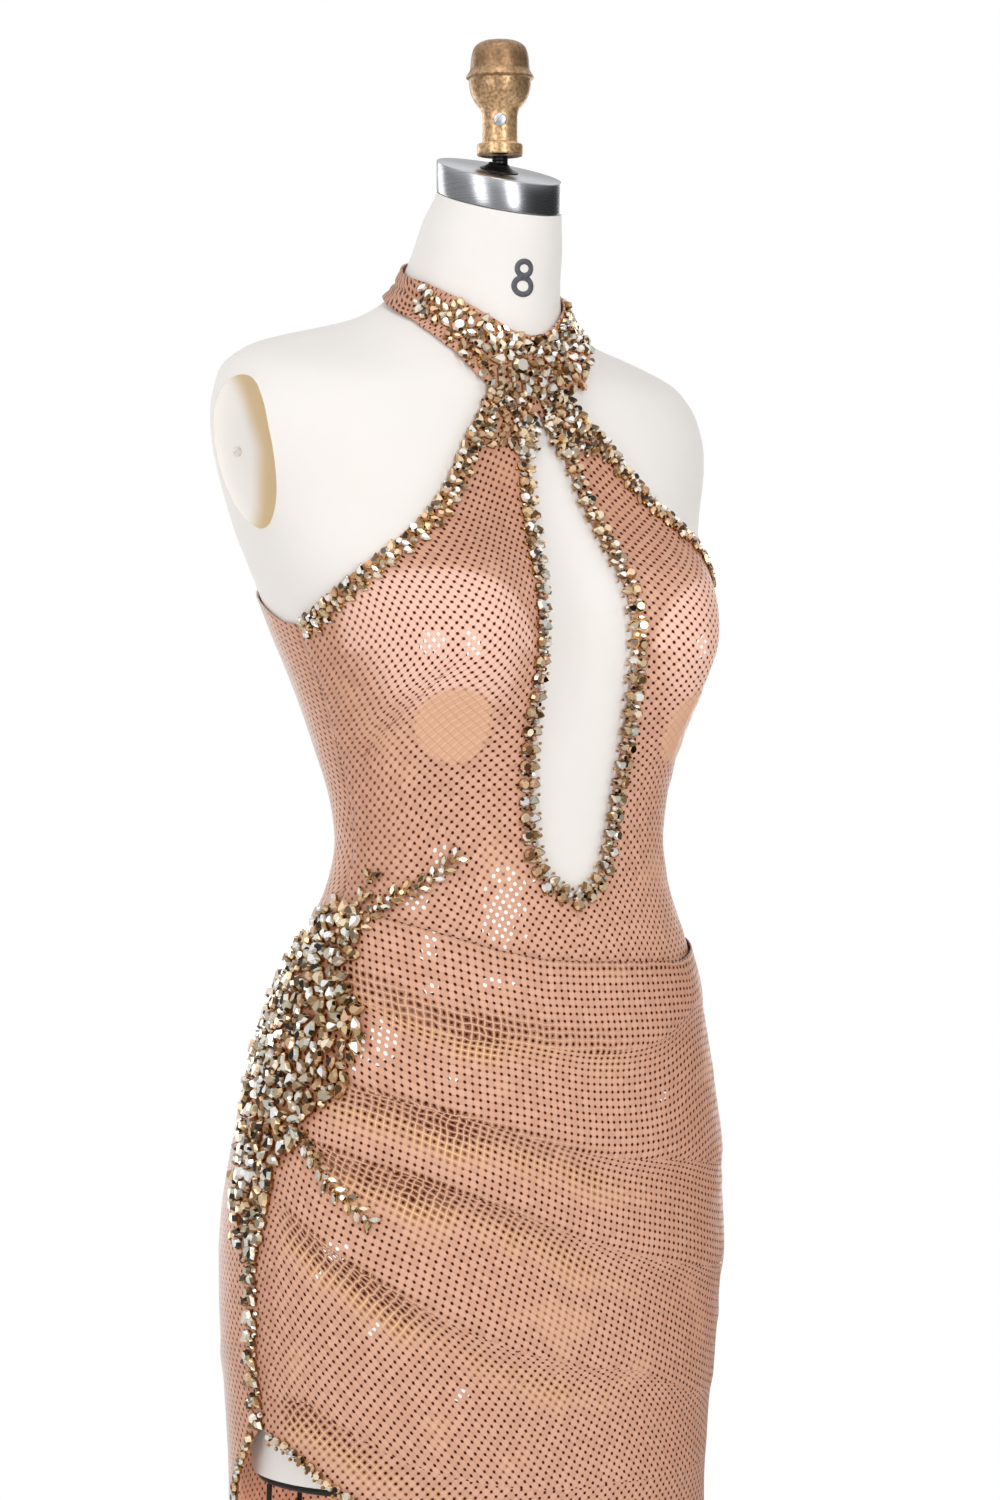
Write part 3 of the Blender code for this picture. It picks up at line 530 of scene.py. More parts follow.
def makeMottled(name, code, secondCode, metallic, roughness, scale, bumpSize, stretch=(1, 1, 1), darkerTop=None):
    # scale counts the mottling's patches in a metre, so 420 gives a grain of about 2.4 mm
    material, tree, shader = startMaterial(name, {"Metallic": metallic})
    place = addNode(tree, "TexCoord", output="Object")
    mapped = addNode(tree, "Mapping", {"Vector": place, "Scale": stretch})
    noise = addNode(tree, "TexNoise", {"Vector": mapped, "Scale": scale, "Detail": 4.0})
    ramp = addNode(tree, "ValToRGB", {0: noise})
    setRamp(ramp, [(0.35, secondCode), (0.62, code)])
    colour = ramp
    if darkerTop:
        # darker towards its top, from one level to the next
        level = addNode(tree, "SeparateXYZ", {0: place}, output=2)
        share = addNode(tree, "MapRange", {0: level, 1: darkerTop[0], 2: darkerTop[1], 4: 0.75})
        colour = addNode(tree, "Mix", {0: share, 6: colour, 7: darkerTop[2]}, data_type="RGBA", output=2)
    tree.links.new(colour, shader.inputs["Base Color"])
    rough = addNode(tree, "MapRange", {0: noise, 3: roughness + 0.08, 4: roughness - 0.06})
    tree.links.new(rough, shader.inputs["Roughness"])
    bump = addNode(tree, "Bump", {"Height": noise, "Strength": 0.5, "Distance": bumpSize})
    tree.links.new(bump, shader.inputs["Normal"])
    return material


def makeCrystal():
    # foil-backed cut glass with painted reflections: each facet is painted one tone, from white to dark brown
    material, tree, shader = startMaterial("foiledCrystal", {"Metallic": 0.45, "Roughness": 0.1, "IOR": 1.6})
    facetReflection = addNode(tree, "Attribute", attribute_name="facetReflection", output="Fac")
    stone = addNode(tree, "Attribute", attribute_name="stone", output="Fac")
    light = addNode(tree, "ValToRGB", {0: facetReflection})
    setRamp(light, [
        (0.0, "#261A10"), (0.1, "#66533E"), (0.22, "#A39178"), (0.36, "#D0C3AE"), (0.5, "#F1ECE4"), (0.62, "#FFFFFF"),
    ], "CONSTANT")
    tint = addNode(tree, "ValToRGB", {0: stone})
    setRamp(tint, [
        (0.0, "#D0984A"), (0.12, "#E2BB7C"), (0.26, "#EFD5A6"), (0.42, "#F5E8D2"), (0.55, "#FFFFFF"),
        (0.82, "#D6D8CC"), (0.96, "#E5A56A"),
    ], "CONSTANT")
    mix = addNode(tree, "Mix", {0: 0.75, 6: light, 7: tint}, data_type="RGBA", blend_type="MULTIPLY", output=2)
    tree.links.new(mix, shader.inputs["Base Color"])
    return material


clothMaterial = makeTileCloth()
coverMaterial = makeFormCover()
# cast metal with rubbed gold paint: bright on top, brown in its pits
finialMaterial = makeMottled(
    "castAntiqueGold", "#E2BC8E", "#9C7A58", 0.7, 0.38, 420.0, 0.0003, darkerTop=(1.556, 1.59, "#6E5038"),
)
# spun steel, brushed round: fine level lines and tall soft reflections
steelMaterial = makeMottled("brushedSteel", "#B2B3B7", "#9C9DA2", 1.0, 0.26, 30.0, 0.00001, (1, 1, 60))
# satin paint on steel: near black, with soft highlights
blackMaterial = makeMottled("blackPaintedSteel", "#141416", "#0B0B0C", 0.3, 0.38, 90.0, 0.00005)
# bright zinc plate: a cool shine, a little cloudy
zincMaterial = makeMottled("zincPlatedSteel", "#D4D8DC", "#A9AEB4", 0.9, 0.35, 200.0, 0.00002)
# the recess screw has been painted over with the form
paintedMaterial = makeMottled("paintedScrew", "#E2DDD8", "#C6C1BB", 0.0, 0.5, 300.0, 0.00002)
# powder-coated cast iron: dark, with a fine pebbled grain
ironMaterial = makeMottled("powderCoatedIron", "#2A2A2C", "#202022", 0.2, 0.55, 300.0, 0.0002)
# stencil ink soaked into the cover: flat dark grey
inkMaterial = makeMottled("stencilInk", "#4E4E54", "#5C5C62", 0.0, 0.6, 400.0, 0.00001)
# gilt stone settings: warm gold, brown in their hollows
giltMaterial = makeMottled("giltSetting", "#C6924A", "#7A5024", 0.9, 0.32, 420.0, 0.00005)
crystalMaterial = makeCrystal()
print("materials made")


# fields that the cloth's material reads, each from 0 to 1 but for the seam's, a distance in millimetres
def noFields(levels):
    fields = {name: np.zeros_like(levels) for name in fieldNames}
    fields["seam"] = np.full(levels.shape, 99.0)
    return fields


def spotField(levels, degrees, spots):
    field = np.zeros_like(levels)
    for degree, level, wide, high in spots:
        across = np.radians(degrees - degree) * bodyRadius
        field = np.maximum(field, np.exp(-((across / wide) ** 2) - ((levels - level) / high) ** 2))
    return field


def lineDistance(levels, degrees, line):
    best = np.full(levels.shape, 99.0)
    x, y = np.radians(degrees) * bodyRadius, levels
    for (firstDegree, firstLevel), (nextDegree, nextLevel) in zip(line, line[1:]):
        startX, endX = math.radians(firstDegree) * bodyRadius, math.radians(nextDegree) * bodyRadius
        stepX, stepY = endX - startX, nextLevel - firstLevel
        share = np.clip(((x - startX) * stepX + (y - firstLevel) * stepY) / (stepX**2 + stepY**2), 0, 1)
        best = np.minimum(best, np.hypot(x - startX - share * stepX, y - firstLevel - share * stepY))
    return best


def arcMap(surface, levels, degrees):
    levelLine = np.arange(levels.min() - 4, levels.max() + 8, 4.0)
    degreeLine = np.arange(degrees.min() - 2, degrees.max() + 4, 2.0)
    points = surface(*np.meshgrid(levelLine, degreeLine, indexing="ij"))
    across = np.cumsum(np.linalg.norm(np.diff(points, axis=1, prepend=points[:, :1]), axis=2), axis=1)
    along = np.cumsum(np.linalg.norm(np.diff(points, axis=0, prepend=points[:1]), axis=2), axis=0)
    zero = int(np.argmin(np.abs(degreeLine)))
    across = across - across[:, zero:zero + 1]
    rowPlace = (levels - levelLine[0]) / 4.0
    columnPlace = (degrees - degreeLine[0]) / 2.0
    row = np.clip(rowPlace.astype(int), 0, len(levelLine) - 2)
    column = np.clip(columnPlace.astype(int), 0, len(degreeLine) - 2)
    down, right = rowPlace - row, columnPlace - column
    return tuple(
        ((1 - down) * (1 - right) * table[row, column] + (1 - down) * right * table[row, column + 1]
         + down * (1 - right) * table[row + 1, column] + down * right * table[row + 1, column + 1]) * mm
        for table in (across, along)
    )


def turned(across, along, degrees):
    angle = math.radians(degrees)
    return across * math.cos(angle) - along * math.sin(angle), across * math.sin(angle) + along * math.cos(angle)


def clothPiece(name, surface, patches, nodes, wall):
    work = bmesh.new()
    uvLayer = work.loops.layers.uv.new("tiles")
    layers = {key: work.verts.layers.float.new(key) for key in fieldNames}
    for levels, degrees, across, along, fields in patches:
        spots = placedGrid(work, surface(levels, degrees))
        for vert, spot in spots.items():
            for key, values in fields.items():
                vert[layers[key]] = values[spot]
        for face in {face for vert in spots for face in vert.link_faces}:
            for loop in face.loops:
                spot = spots[loop.vert]
                loop[uvLayer].uv = (across[spot], along[spot])
    bmesh.ops.remove_doubles(work, verts=work.verts, dist=1e-5)
    piece = finishPiece(work, name, [clothMaterial], nodes, sharpAngle=70)
    thicken(piece, wall)
    return piece


def creaseHeight(levels, degrees, creases):
    height = np.zeros_like(levels)
    for degree, level, length, width, slope, rise in creases:
        x = np.radians(degrees - degree) * creaseRadius
        y = levels - level
        lean = math.radians(slope)
        along = x * math.cos(lean) + y * math.sin(lean)
        beside = y * math.cos(lean) - x * math.sin(lean)
        height = height + rise * np.exp(-((along / length) ** 2) - (beside / width) ** 2)
    return height


# the form's torso, smooth and whole, an oval recess carved at each arm
torsoSet = {"columns": 108, "rows": 96}
recess = {
    "level": 1318, "depth": 42, "reach": 187.5, "half height": 57, "half length": 36, "deep": 15,
    "lean": -7, "slope": 0.07, "tilt": 0.2, "screw back": 16,
}
recessRings = [
    # shares of the depth, of the oval's size and of the tilt, from the floor out past the rim
    (1.0, 0.06, 1), (1.0, 0.18, 1), (1.0, 0.3, 1), (1.0, 0.42, 1), (1.0, 0.54, 1), (0.985, 0.66, 1), (0.93, 0.77, 1),
    (0.82, 0.86, 1), (0.64, 0.93, 1), (0.42, 0.975, 1), (0.2, 1.0, 1), (0.06, 1.012, 0.7), (-0.06, 1.03, 0.3),
    (-1.0, 1.05, 0),
]
torsoKnots = [neckTop, 1450, 1419, 1398, 1378, 1336, 1257, 1173, 1112, 1048, 974, 880, 755, 624]
torsoLevels = np.interp(np.linspace(0, 13, torsoSet["rows"]), np.arange(14), torsoKnots)
torsoDegrees = np.linspace(-180, 180, torsoSet["columns"] + 1)
work = bmesh.new()
placedGrid(work, formSurface(*np.meshgrid(torsoLevels, torsoDegrees, indexing="ij")))
closeGrid(work)
torso = finishPiece(work, "formTorso", [coverMaterial], ["form_torso"])
uncarved = KDTree(len(torso.data.vertices))
for index, vert in enumerate(torso.data.vertices):
    uncarved.insert(vert.co, index)
uncarved.balance()
angles = np.linspace(0, 2 * math.pi, 73)
for side in (-1, 1):
    rings = []
    for deep, grow, tilt in recessRings:
        height = recess["half height"] * grow * np.sin(angles)
        along = recess["half length"] * grow * np.cos(angles) - height * math.tan(math.radians(recess["lean"]))
        reach = recess["reach"] - deep * recess["deep"] + height * recess["slope"] + along * recess["tilt"] * tilt
        rings.append(np.stack([side * reach, recess["depth"] + along, recess["level"] + height], -1))
    work = bmesh.new()
    placedGrid(work, np.array(rings))
    closeGrid(work)
    cutter = addObject("recessCutter", takeMesh(work, "recessCutter"))
    cut = torso.modifiers.new("recess", "BOOLEAN")
    cut.operation = "DIFFERENCE"
    cut.solver = "EXACT"
    cut.object = cutter
    carved = bpy.data.meshes.new_from_object(torso.evaluated_get(bpy.context.evaluated_depsgraph_get()))
    torso.modifiers.clear()
    torso.data = carved
    bpy.data.objects.remove(cutter, do_unlink=True)
torso.data.shade_smooth()
torso.data.set_sharp_from_angle(angle=math.radians(40))
# painted shade: the recess is painted a warm tan, strongest towards the front
spots = np.array([vert.co for vert in torso.data.vertices]) / mm
height = spots[:, 2] - recess["level"]
along = spots[:, 1] - recess["depth"] + height * math.tan(math.radians(recess["lean"]))
toFront = 0.35 * np.abs(height) / recess["half height"] - along / recess["half length"]
paintedRecessShade = 0.03 + 0.97 * fade(toFront, -0.12, 0.5)
# a face that keeps a vertex of the uncarved form lies outside the recess
outside = np.array([uncarved.find(vert.co)[2] < 1e-6 for vert in torso.data.vertices])
cornerSpots = np.empty(len(torso.data.loops), int)
torso.data.loops.foreach_get("vertex_index", cornerSpots)
sizes = np.empty(len(torso.data.polygons), int)
torso.data.polygons.foreach_get("loop_total", sizes)
starts = np.concatenate([[0], np.cumsum(sizes)[:-1]])
hollow = np.repeat(np.add.reduceat(outside[cornerSpots].astype(float), starts) == 0, sizes)
setField(torso.data, "paintedRecessShade", "CORNER", (paintedRecessShade[cornerSpots] * hollow).astype(float))
print("form made")

# the bodice: two halves that meet above and below the keyhole
bodiceSet = {"rows": 120, "columns": 56, "tileTurn": 40, "wall": 1.1, "under skirt": 8}
dart = [(-80.5, 1110), (-64.5, 1142), (-53.5, 1173)]
# where each dart pulls the tiles together, and over what width and length (millimetres; the squeeze in metres)
dartPull = {"degrees": 66, "level": 1142, "slope": 42, "squeeze": 0.0065, "half width": 0.006, "half length": 0.046}
# the padded cup's paler cloth
cupSet = {"degrees": 52, "level": 1183, "half width": 66, "above": 60, "below": 56, "strength": 0.85}
bodiceGlints = [
    # degrees, level, half width, half height
    (-57, 1186, 7, 15), (-49, 1186, 5, 12), (-32.5, 1008, 24, 32), (-57, 1038, 8, 16), (-62, 1016, 9, 9),
    (-21, 1036, 5, 8), (42, 1188, 8, 12), (150, 1100, 10, 16),
]
bodiceCreases = [
    # degrees, level, half length, half width, slope, rise
    (-67, 1141, 42, 3.2, 42, -1.7), (-69, 1147, 40, 4.2, 42, 1.5), (67, 1141, 42, 3.2, -42, -1.7),
    (69, 1147, 40, 4.2, -42, 1.5), (-74, 1086, 34, 5, 24, 0.8), (-38, 1062, 40, 5, 38, 0.7),
    (36, 1060, 40, 5, -34, 0.7), (72, 1092, 34, 5, -22, 0.8),
    (-30, 1010, 40, 4, 12, 0.7), (44, 1012, 40, 4, -8, 0.7), (-62, 1012, 30, 4, 26, 0.8), (78, 1030, 30, 5, -14, 0.7),
]
padSet = {"degrees": 51.5, "level": 1133, "half width": 31, "high": 0.86, "rise": 0.9}
topDegrees, topLevels = np.array(overlayTop, float).T


def padDistance(level, degrees):
    across = np.radians(np.abs(degrees) - padSet["degrees"]) * creaseRadius
    return padSet["half width"] - np.hypot(across, (level - padSet["level"]) / padSet["high"])


def fineBodice(level, degrees):
    normal = outward(bodiceSurface, level, degrees)
    height = creaseHeight(level, degrees, bodiceCreases) + padSet["rise"] * fade(padDistance(level, degrees), 0, 3)
    return bodiceSurface(level, degrees) + normal * (height * fade(np.abs(degrees), 89, -6))[..., None]


patches = []
for side in (-1, 1):
    seamLevel, centreLevel = np.interp([side * seamDegree, 0], topDegrees, topLevels) - bodiceSet["under skirt"]
    holeDegrees, holeLevels = resample(keyholeEdge, bodiceSet["rows"], bodiceSurface)[:2]
    holeDegrees[[0, -1]] = 0
    innerDegrees = np.concatenate([np.zeros(4), np.maximum(holeDegrees, 0), np.zeros(12)])
    innerLevels = np.concatenate([
        np.linspace(1382.2, 1369, 5)[:-1], holeLevels, np.linspace(1017, centreLevel, 13)[1:],
    ])
    innerPoints = bodiceSurface(innerLevels, innerDegrees)
    run = np.cumsum(np.linalg.norm(np.diff(innerPoints, axis=0, prepend=innerPoints[:1]), axis=1))
    outerCurve = halterEdge if side < 0 else halterEdgeLeft
    outerCurve = outerCurve + [(seamDegree, level) for level in (1160, 1120, 1080, 1040, seamLevel)]
    outerDegrees, outerLevels = resample(outerCurve, run / run[-1], bodiceSurface)[:2]
    outerDegrees = np.minimum(outerDegrees, seamDegree)
    share = np.linspace(0, 1, bodiceSet["columns"])[None]
    degrees = innerDegrees[:, None] * (1 - share) + outerDegrees[:, None] * share
    levels = innerLevels[:, None] * (1 - share) + outerLevels[:, None] * share
    sag = np.interp(side * degrees[-1], topDegrees, topLevels) - bodiceSet["under skirt"] - levels[-1]
    levels = levels + sag[None] * smoothStep(np.linspace(-2.2, 1, len(innerDegrees)))[:, None]
    degrees = side * degrees
    if side < 0:
        levels, degrees = levels[:, ::-1], degrees[:, ::-1]
    across, along = arcMap(bodiceSurface, levels, degrees)
    # a pull from the dart squeezes the rows of tiles along it
    lean = math.radians(-dartPull["slope"] * side)
    fromDart = np.radians(degrees - dartPull["degrees"] * side) * creaseRadius * mm
    overDart = (levels - dartPull["level"]) * mm
    beside = overDart * math.cos(lean) - fromDart * math.sin(lean)
    ahead = fromDart * math.cos(lean) + overDart * math.sin(lean)
    squeeze = dartPull["squeeze"] * np.tanh(beside / dartPull["half width"])
    squeeze = squeeze * np.exp(-((ahead / dartPull["half length"]) ** 4))
    across, along = turned(across - squeeze * math.sin(lean), along + squeeze * math.cos(lean), bodiceSet["tileTurn"])
    turnedIn = -np.abs(degrees)
    fields = noFields(levels)
    high = levels - cupSet["level"]
    fromCup = np.radians(turnedIn + cupSet["degrees"]) * bodyRadius
    ellipse = np.hypot(fromCup / cupSet["half width"], high / np.where(high > 0, cupSet["above"], cupSet["below"]))
    fields["veil"] = fade(padDistance(levels, degrees), 0, 4)
    cupShare = smoothStep((1 - ellipse) / np.where(high > 0, 0.12, 0.5))
    fields["cup"] = cupSet["strength"] * cupShare * (1 - fields["veil"])
    fields["seam"] = lineDistance(levels, turnedIn, dart)
    fields["glint"] = spotField(levels, degrees, bodiceGlints)
    # painted shade: darker under the collar and towards the sides, where the dots also grow; the paler dots on the
    # sides are painted sheen
    fields["dense"] = 0.55 * fade(degrees, 40, 36) * fade(levels, 1170, -60)
    fields["dense"] = fields["dense"] + 0.36 * fade(levels, 1222, 40) + 0.25 * fade(degrees, -66, -16)
    fields["soft"] = 0.62 * fade(degrees, -62, -12) + 0.3 * fade(degrees, 60, 20)
    patches.append((levels, degrees, across, along, fields))
bodice = clothPiece("bodiceFront", fineBodice, patches, ["bodice_front"], bodiceSet["wall"])
print("bodice made")

# the draped front skirt, in bands between its folds
skirtSet = {
    "columns": 150, "wall": 1.1, "tuck": 7,  # the tuck: how far each band starts below its fold's crest
    # rows in each band, and how far its tiles turn past the fold above
    "bands": [(14, 0), (22, 4), (22, 8), (24, 14), (20, 26), (20, 45), (44, 45)],
}
skirtCreases = [
    (-66, 926, 34, 5, 22, 1.6), (-58, 896, 40, 4, -16, 1.3), (-70, 880, 26, 4, 30, 1.4), (-48, 862, 42, 5, -22, 1.2),
    (-62, 838, 34, 4, -30, 1.4), (-34, 902, 46, 5, -6, 1.0), (-56, 806, 40, 5, -34, 1.3), (-36, 790, 44, 5, -22, 1.0),
    (-66, 772, 34, 5, -44, 1.3), (-44, 742, 44, 6, -34, 1.1), (-12, 762, 50, 6, -14, 0.8), (18, 812, 46, 6, -4, 0.8),
    (40, 894, 40, 5, 8, 1.0), (56, 812, 40, 5, 12, 1.0), (70, 760, 30, 6, 18, 1.0), (62, 720, 36, 6, 4, 0.9),
    (30, 664, 50, 7, -4, 0.8), (-20, 676, 46, 6, -16, 0.9), (-52, 700, 40, 6, -38, 1.2), (-68, 716, 30, 5, -58, 1.1),
    (-6, 946, 60, 4, 3, 0.7), (46, 958, 40, 4, 6, 0.8), (74, 900, 24, 5, 20, 0.9),
]
skirtGlints = [
    (-34, 962, 15, 5), (-55.5, 985, 9, 10), (-61, 925, 9, 16), (-66, 915, 5, 12), (-67, 787, 10, 9), (-52, 958, 6, 5),
    (-44, 900, 5, 4), (-70, 770, 4, 6), (-38, 690, 6, 5), (-58, 735, 5, 5), (30, 880, 6, 5), (60, 760, 6, 8),
    (10, 560, 9, 10),
]


def fineOverlay(level, degrees):
    normal = outward(overlayBase, level, degrees)
    sway = skirtSway * fade(level, fallLevel, -420) * np.sin(np.radians(degrees * 5 + 40))
    height = foldHeight(level, degrees) + creaseHeight(level, degrees, skirtCreases) + sway
    return overlayBase(level, degrees) + normal * height[..., None]


def foldNoise(degrees, number):
    return (
        0.5 * np.sin(np.radians(degrees * 7.3 + 61 * number)) + 0.3 * np.sin(np.radians(degrees * 17.1 + 97 * number))
        + 0.2 * np.sin(np.radians(degrees * 41 + 29 * number))
    )


bandLines = [lambda degrees: np.interp(degrees, topDegrees, topLevels)]
bandLines += [lambda degrees, fold=fold: foldLine(fold, degrees) - skirtSet["tuck"] for fold in folds]
bandLines += [lambda degrees: np.full_like(degrees, fallLevel), lambda degrees: np.full_like(degrees, hemHeight)]
edgeDegrees, edgeLevels = np.array(slitFrontEdge[::-1], float).T


def slitDegree(level):
    return np.interp(level, edgeLevels, edgeDegrees, right=-seamDegree)


# how far up each fold its gathered tiles and their painted shade reach, and to where round the form that shade is
# painted dark
foldShade = [(14, 10), (0, 0), (0, -12), (0, -44), (0, -64)]
patches = []
share = np.linspace(0, 1, skirtSet["columns"])
for number, (rows, tileTurn) in enumerate(skirtSet["bands"]):
    levels, degrees = [], []
    for part in np.linspace(0, 1, rows):
        tryDegrees = np.linspace(-seamDegree, -40, 400)
        tryLevels = bandLines[number](tryDegrees) * (1 - part) + bandLines[number + 1](tryDegrees) * part
        over = tryDegrees - slitDegree(tryLevels)
        first = int(np.argmax(over >= -1e-9))
        start = tryDegrees[0]
        if first:
            start = np.interp(0, over[first - 1:first + 1], tryDegrees[first - 1:first + 1])
        rowDegrees = start * (1 - share) + seamDegree * share
        degrees.append(rowDegrees)
        levels.append(bandLines[number](rowDegrees) * (1 - part) + bandLines[number + 1](rowDegrees) * part)
    levels, degrees = np.array(levels), np.array(degrees)
    both = np.concatenate([levels, bandLines[number](degrees)])
    across, along = arcMap(overlaySurface, both, np.concatenate([degrees, degrees]))
    across, along, topAlong = across[:len(levels)], along[:len(levels)], along[len(levels):]
    if number < 5:
        along = along - topAlong
        if number:
            along = along - 0.005 * (1 - np.exp(along / 0.008))  # more cloth lies gathered just under a fold
    across, along = turned(across, along, tileTurn)
    fields = noFields(levels)
    for foldNumber, (fold, (shadeRise, shadeEnd)) in enumerate(zip(folds, foldShade)):
        below = foldLine(fold, degrees) - levels + shadeRise
        noise = foldNoise(degrees, foldNumber)
        strength = fade(degrees, 58, -110) * fade(degrees, -84, 8) * (0.75 + 0.35 * noise)
        dark = fade(degrees, shadeEnd + 18, -36)
        # under the fold: first gathered, with painted shade, then bare net, then smooth cloth
        deep = fade(below, 1, 4) * fade(below, 24 + 5 * noise, -8) * strength * dark
        net = fade(below, 15, 5) * fade(below, 34 + 8 * noise, -10) * strength * (0.6 + 0.4 * dark)
        veil = fade(below, 26, 6) * fade(below, 40 + 8 * noise, -8)
        veil = veil * fade(degrees, 50, -50) * (0.5 if foldNumber else 0.15)
        for key, values in (("deep", deep), ("net", net), ("veil", veil)):
            fields[key] = np.maximum(fields[key], values)
    if number == 0:
        # gathered tiles with painted shade just under the skirt's top edge
        gathered = np.exp(-(((levels - bandLines[0](degrees) + 2) / 3) ** 2)) * (0.25 + 0.45 * fade(degrees, -20, 30))
        fields["deep"] = np.maximum(fields["deep"], gathered)
    for key in ("net", "deep"):
        fields[key] = np.clip(fields[key], 0, 1)
    fields["glint"] = spotField(levels, degrees, skirtGlints)
    # painted shade: darker towards the sides and on the cloth under the hip's stones, where the dots also grow; the
    # paler dots on the sides are painted sheen
    fields["dense"] = 0.5 * fade(degrees, 5, 60) + 0.3 * fade(degrees, -80, -8)
    hip = fade(degrees, np.interp(levels, hipOutline[0], hipOutline[2]) + 3, -5)
    hip = hip * fade(levels, 832, 8) * fade(levels, 1016, -8)
    fields["dense"] = np.maximum(fields["dense"], hip)
    fields["soft"] = 0.3 * fade(degrees, 60, 20) + 0.5 * fade(degrees, -78, -8)
    patches.append((levels, degrees, across, along, fields))
skirt = clothPiece("skirtFront", fineOverlay, patches, ["skirt_front"], skirtSet["wall"])
print("skirt made")

# the back, one piece from its top edge to the hem
backSet = {"rows": 210, "columns": 132, "tileTurn": 42, "wall": 1.1}
backGlints = [(200, 930, 12, 14), (150, 870, 10, 10), (172, 1120, 10, 8), (230, 760, 8, 12)]
backCreases = [
    (150, 1072, 46, 7, 8, 1.2), (205, 1062, 50, 7, -6, 1.2), (178, 1036, 60, 6, 2, 1.0), (128, 1040, 34, 6, 16, 1.0),
    (232, 1046, 34, 6, -14, 1.0), (150, 800, 60, 9, 10, 1.2), (214, 786, 60, 9, -8, 1.2), (180, 742, 70, 9, 0, 1.2),
    (120, 960, 40, 7, 24, 1.0), (240, 950, 40, 7, -22, 1.0), (246, 700, 40, 8, 30, 1.1), (112, 706, 40, 8, -26, 1.1),
]


def fineBack(level, degrees):
    normal = outward(backSurface, level, degrees)
    sway = skirtSway * fade(level, fallLevel, -420) * np.sin(np.radians(degrees * 5 + 130))
    ends = fade(degrees, 92, 14) * fade(degrees, 264, -14)
    height = (creaseHeight(level, degrees, backCreases) + sway) * ends
    return backSurface(level, degrees) + normal * height[..., None]


backDegrees, backLevels = np.array(backTop, float).T
slitDegrees, slitLevels = np.array(slitBackEdge[::-1], float).T
rowLevels = np.concatenate([np.linspace(sideTop, fallLevel, 160), np.linspace(fallLevel, hemHeight, 51)[1:]])
share = np.linspace(0, 1, backSet["columns"])[None]
startDegrees = np.interp(rowLevels, slitLevels, -slitDegrees, right=90)
degrees = 90 * (1 - share) + (360 - startDegrees[:, None]) * share
rise = np.interp(np.minimum(degrees, 360 - degrees), backDegrees, backLevels) - sideTop
levels = rowLevels[:, None] + rise * fade(rowLevels, 1060, 141)[:, None]
fields = noFields(levels)
# painted shade towards the back's sides, where the dots also grow and are painted paler as sheen; a pale band of
# painted sheen towards the slit
fields["dense"] = 0.35 * fade(degrees, 118, -26) + 0.2 * fade(degrees, 262, 8)
fields["soft"] = 0.5 * fade(degrees, 262, 8) + 0.3 * fade(degrees, 118, -26)
fields["pale"] = 0.75 * fade(degrees, 228, 12) * fade(degrees, 262, -16)
fields["glint"] = spotField(levels, degrees, backGlints)
across, along = turned(*arcMap(backSurface, levels, degrees), backSet["tileTurn"])
patches = [(levels, degrees, across, along, fields)]
back = clothPiece("backPanel", fineBack, patches, ["back_panel"], backSet["wall"])
print("back made")

# the collar, one band round the neck, pleated a little at its right
collarSet = {"rows": 30, "columns": 145, "tileTurn": 8, "wall": 1.4}


def collarEdges(degrees):
    return (np.interp(np.abs(degrees), *np.array(edge, float).T) for edge in (collarTop, collarBottom))


def fineCollar(level, degrees):
    folded = np.abs(degrees)
    upper, lower = collarEdges(degrees)
    part = (upper - level) / (upper - lower)
    pleat = fade(folded, 70, 22) * fade(folded, 168, -30)
    wave = 0.05 * np.sin(np.radians(folded * 6))
    dip = np.exp(-(((part - 0.5 - wave) / 0.07) ** 2)) * 1.3 + np.exp(-(((part - 0.2 + wave) / 0.05) ** 2)) * 0.5
    dip = dip + np.exp(-(((part - 0.78 - wave) / 0.05) ** 2)) * 0.6
    normal = outward(collarSurface, level, degrees)
    return collarSurface(level, degrees) + normal * (0.6 * pleat - dip * pleat)[..., None]


degrees = np.repeat(np.linspace(-180, 180, collarSet["columns"])[None], collarSet["rows"], axis=0)
share = np.linspace(0, 1, collarSet["rows"])[:, None]
upper, lower = collarEdges(degrees)
levels = upper * (1 - share) + lower * share
fields = noFields(levels)
# painted shade: the collar darker round its sides and back, deepest in its pleats
fields["dense"] = 0.5 * fade(np.abs(degrees), 70, 20)
fields["deep"] = 0.45 * fade(np.abs(degrees), 76, 14) * fade(np.abs(degrees), 150, -20)
across, along = turned(*arcMap(collarSurface, levels, degrees), collarSet["tileTurn"])
patches = [(levels, degrees, across, along, fields)]
collar = clothPiece("collarBand", fineCollar, patches, ["collar"], collarSet["wall"])
print("collar made")

# stones, each in its own gilt cup: a crown of facets round a flat table
stoneKinds = {
    # how wide the outline is, from the cosine and sine of its angle
    "round": lambda cosine, sine: 1,
    "navette": lambda cosine, sine: 0.35 + 0.65 * abs(sine),
    "pear": lambda cosine, sine: 0.92 - 0.42 * cosine - 0.5 * max(0, cosine) ** 6,
}
stoneSides = 8


def facetOrder(face):
    # ring by ring and round each ring: the operators' own order can change from run to run
    centre = face.calc_center_median()
    return centre.z * 100 + math.atan2(centre.y, centre.x)


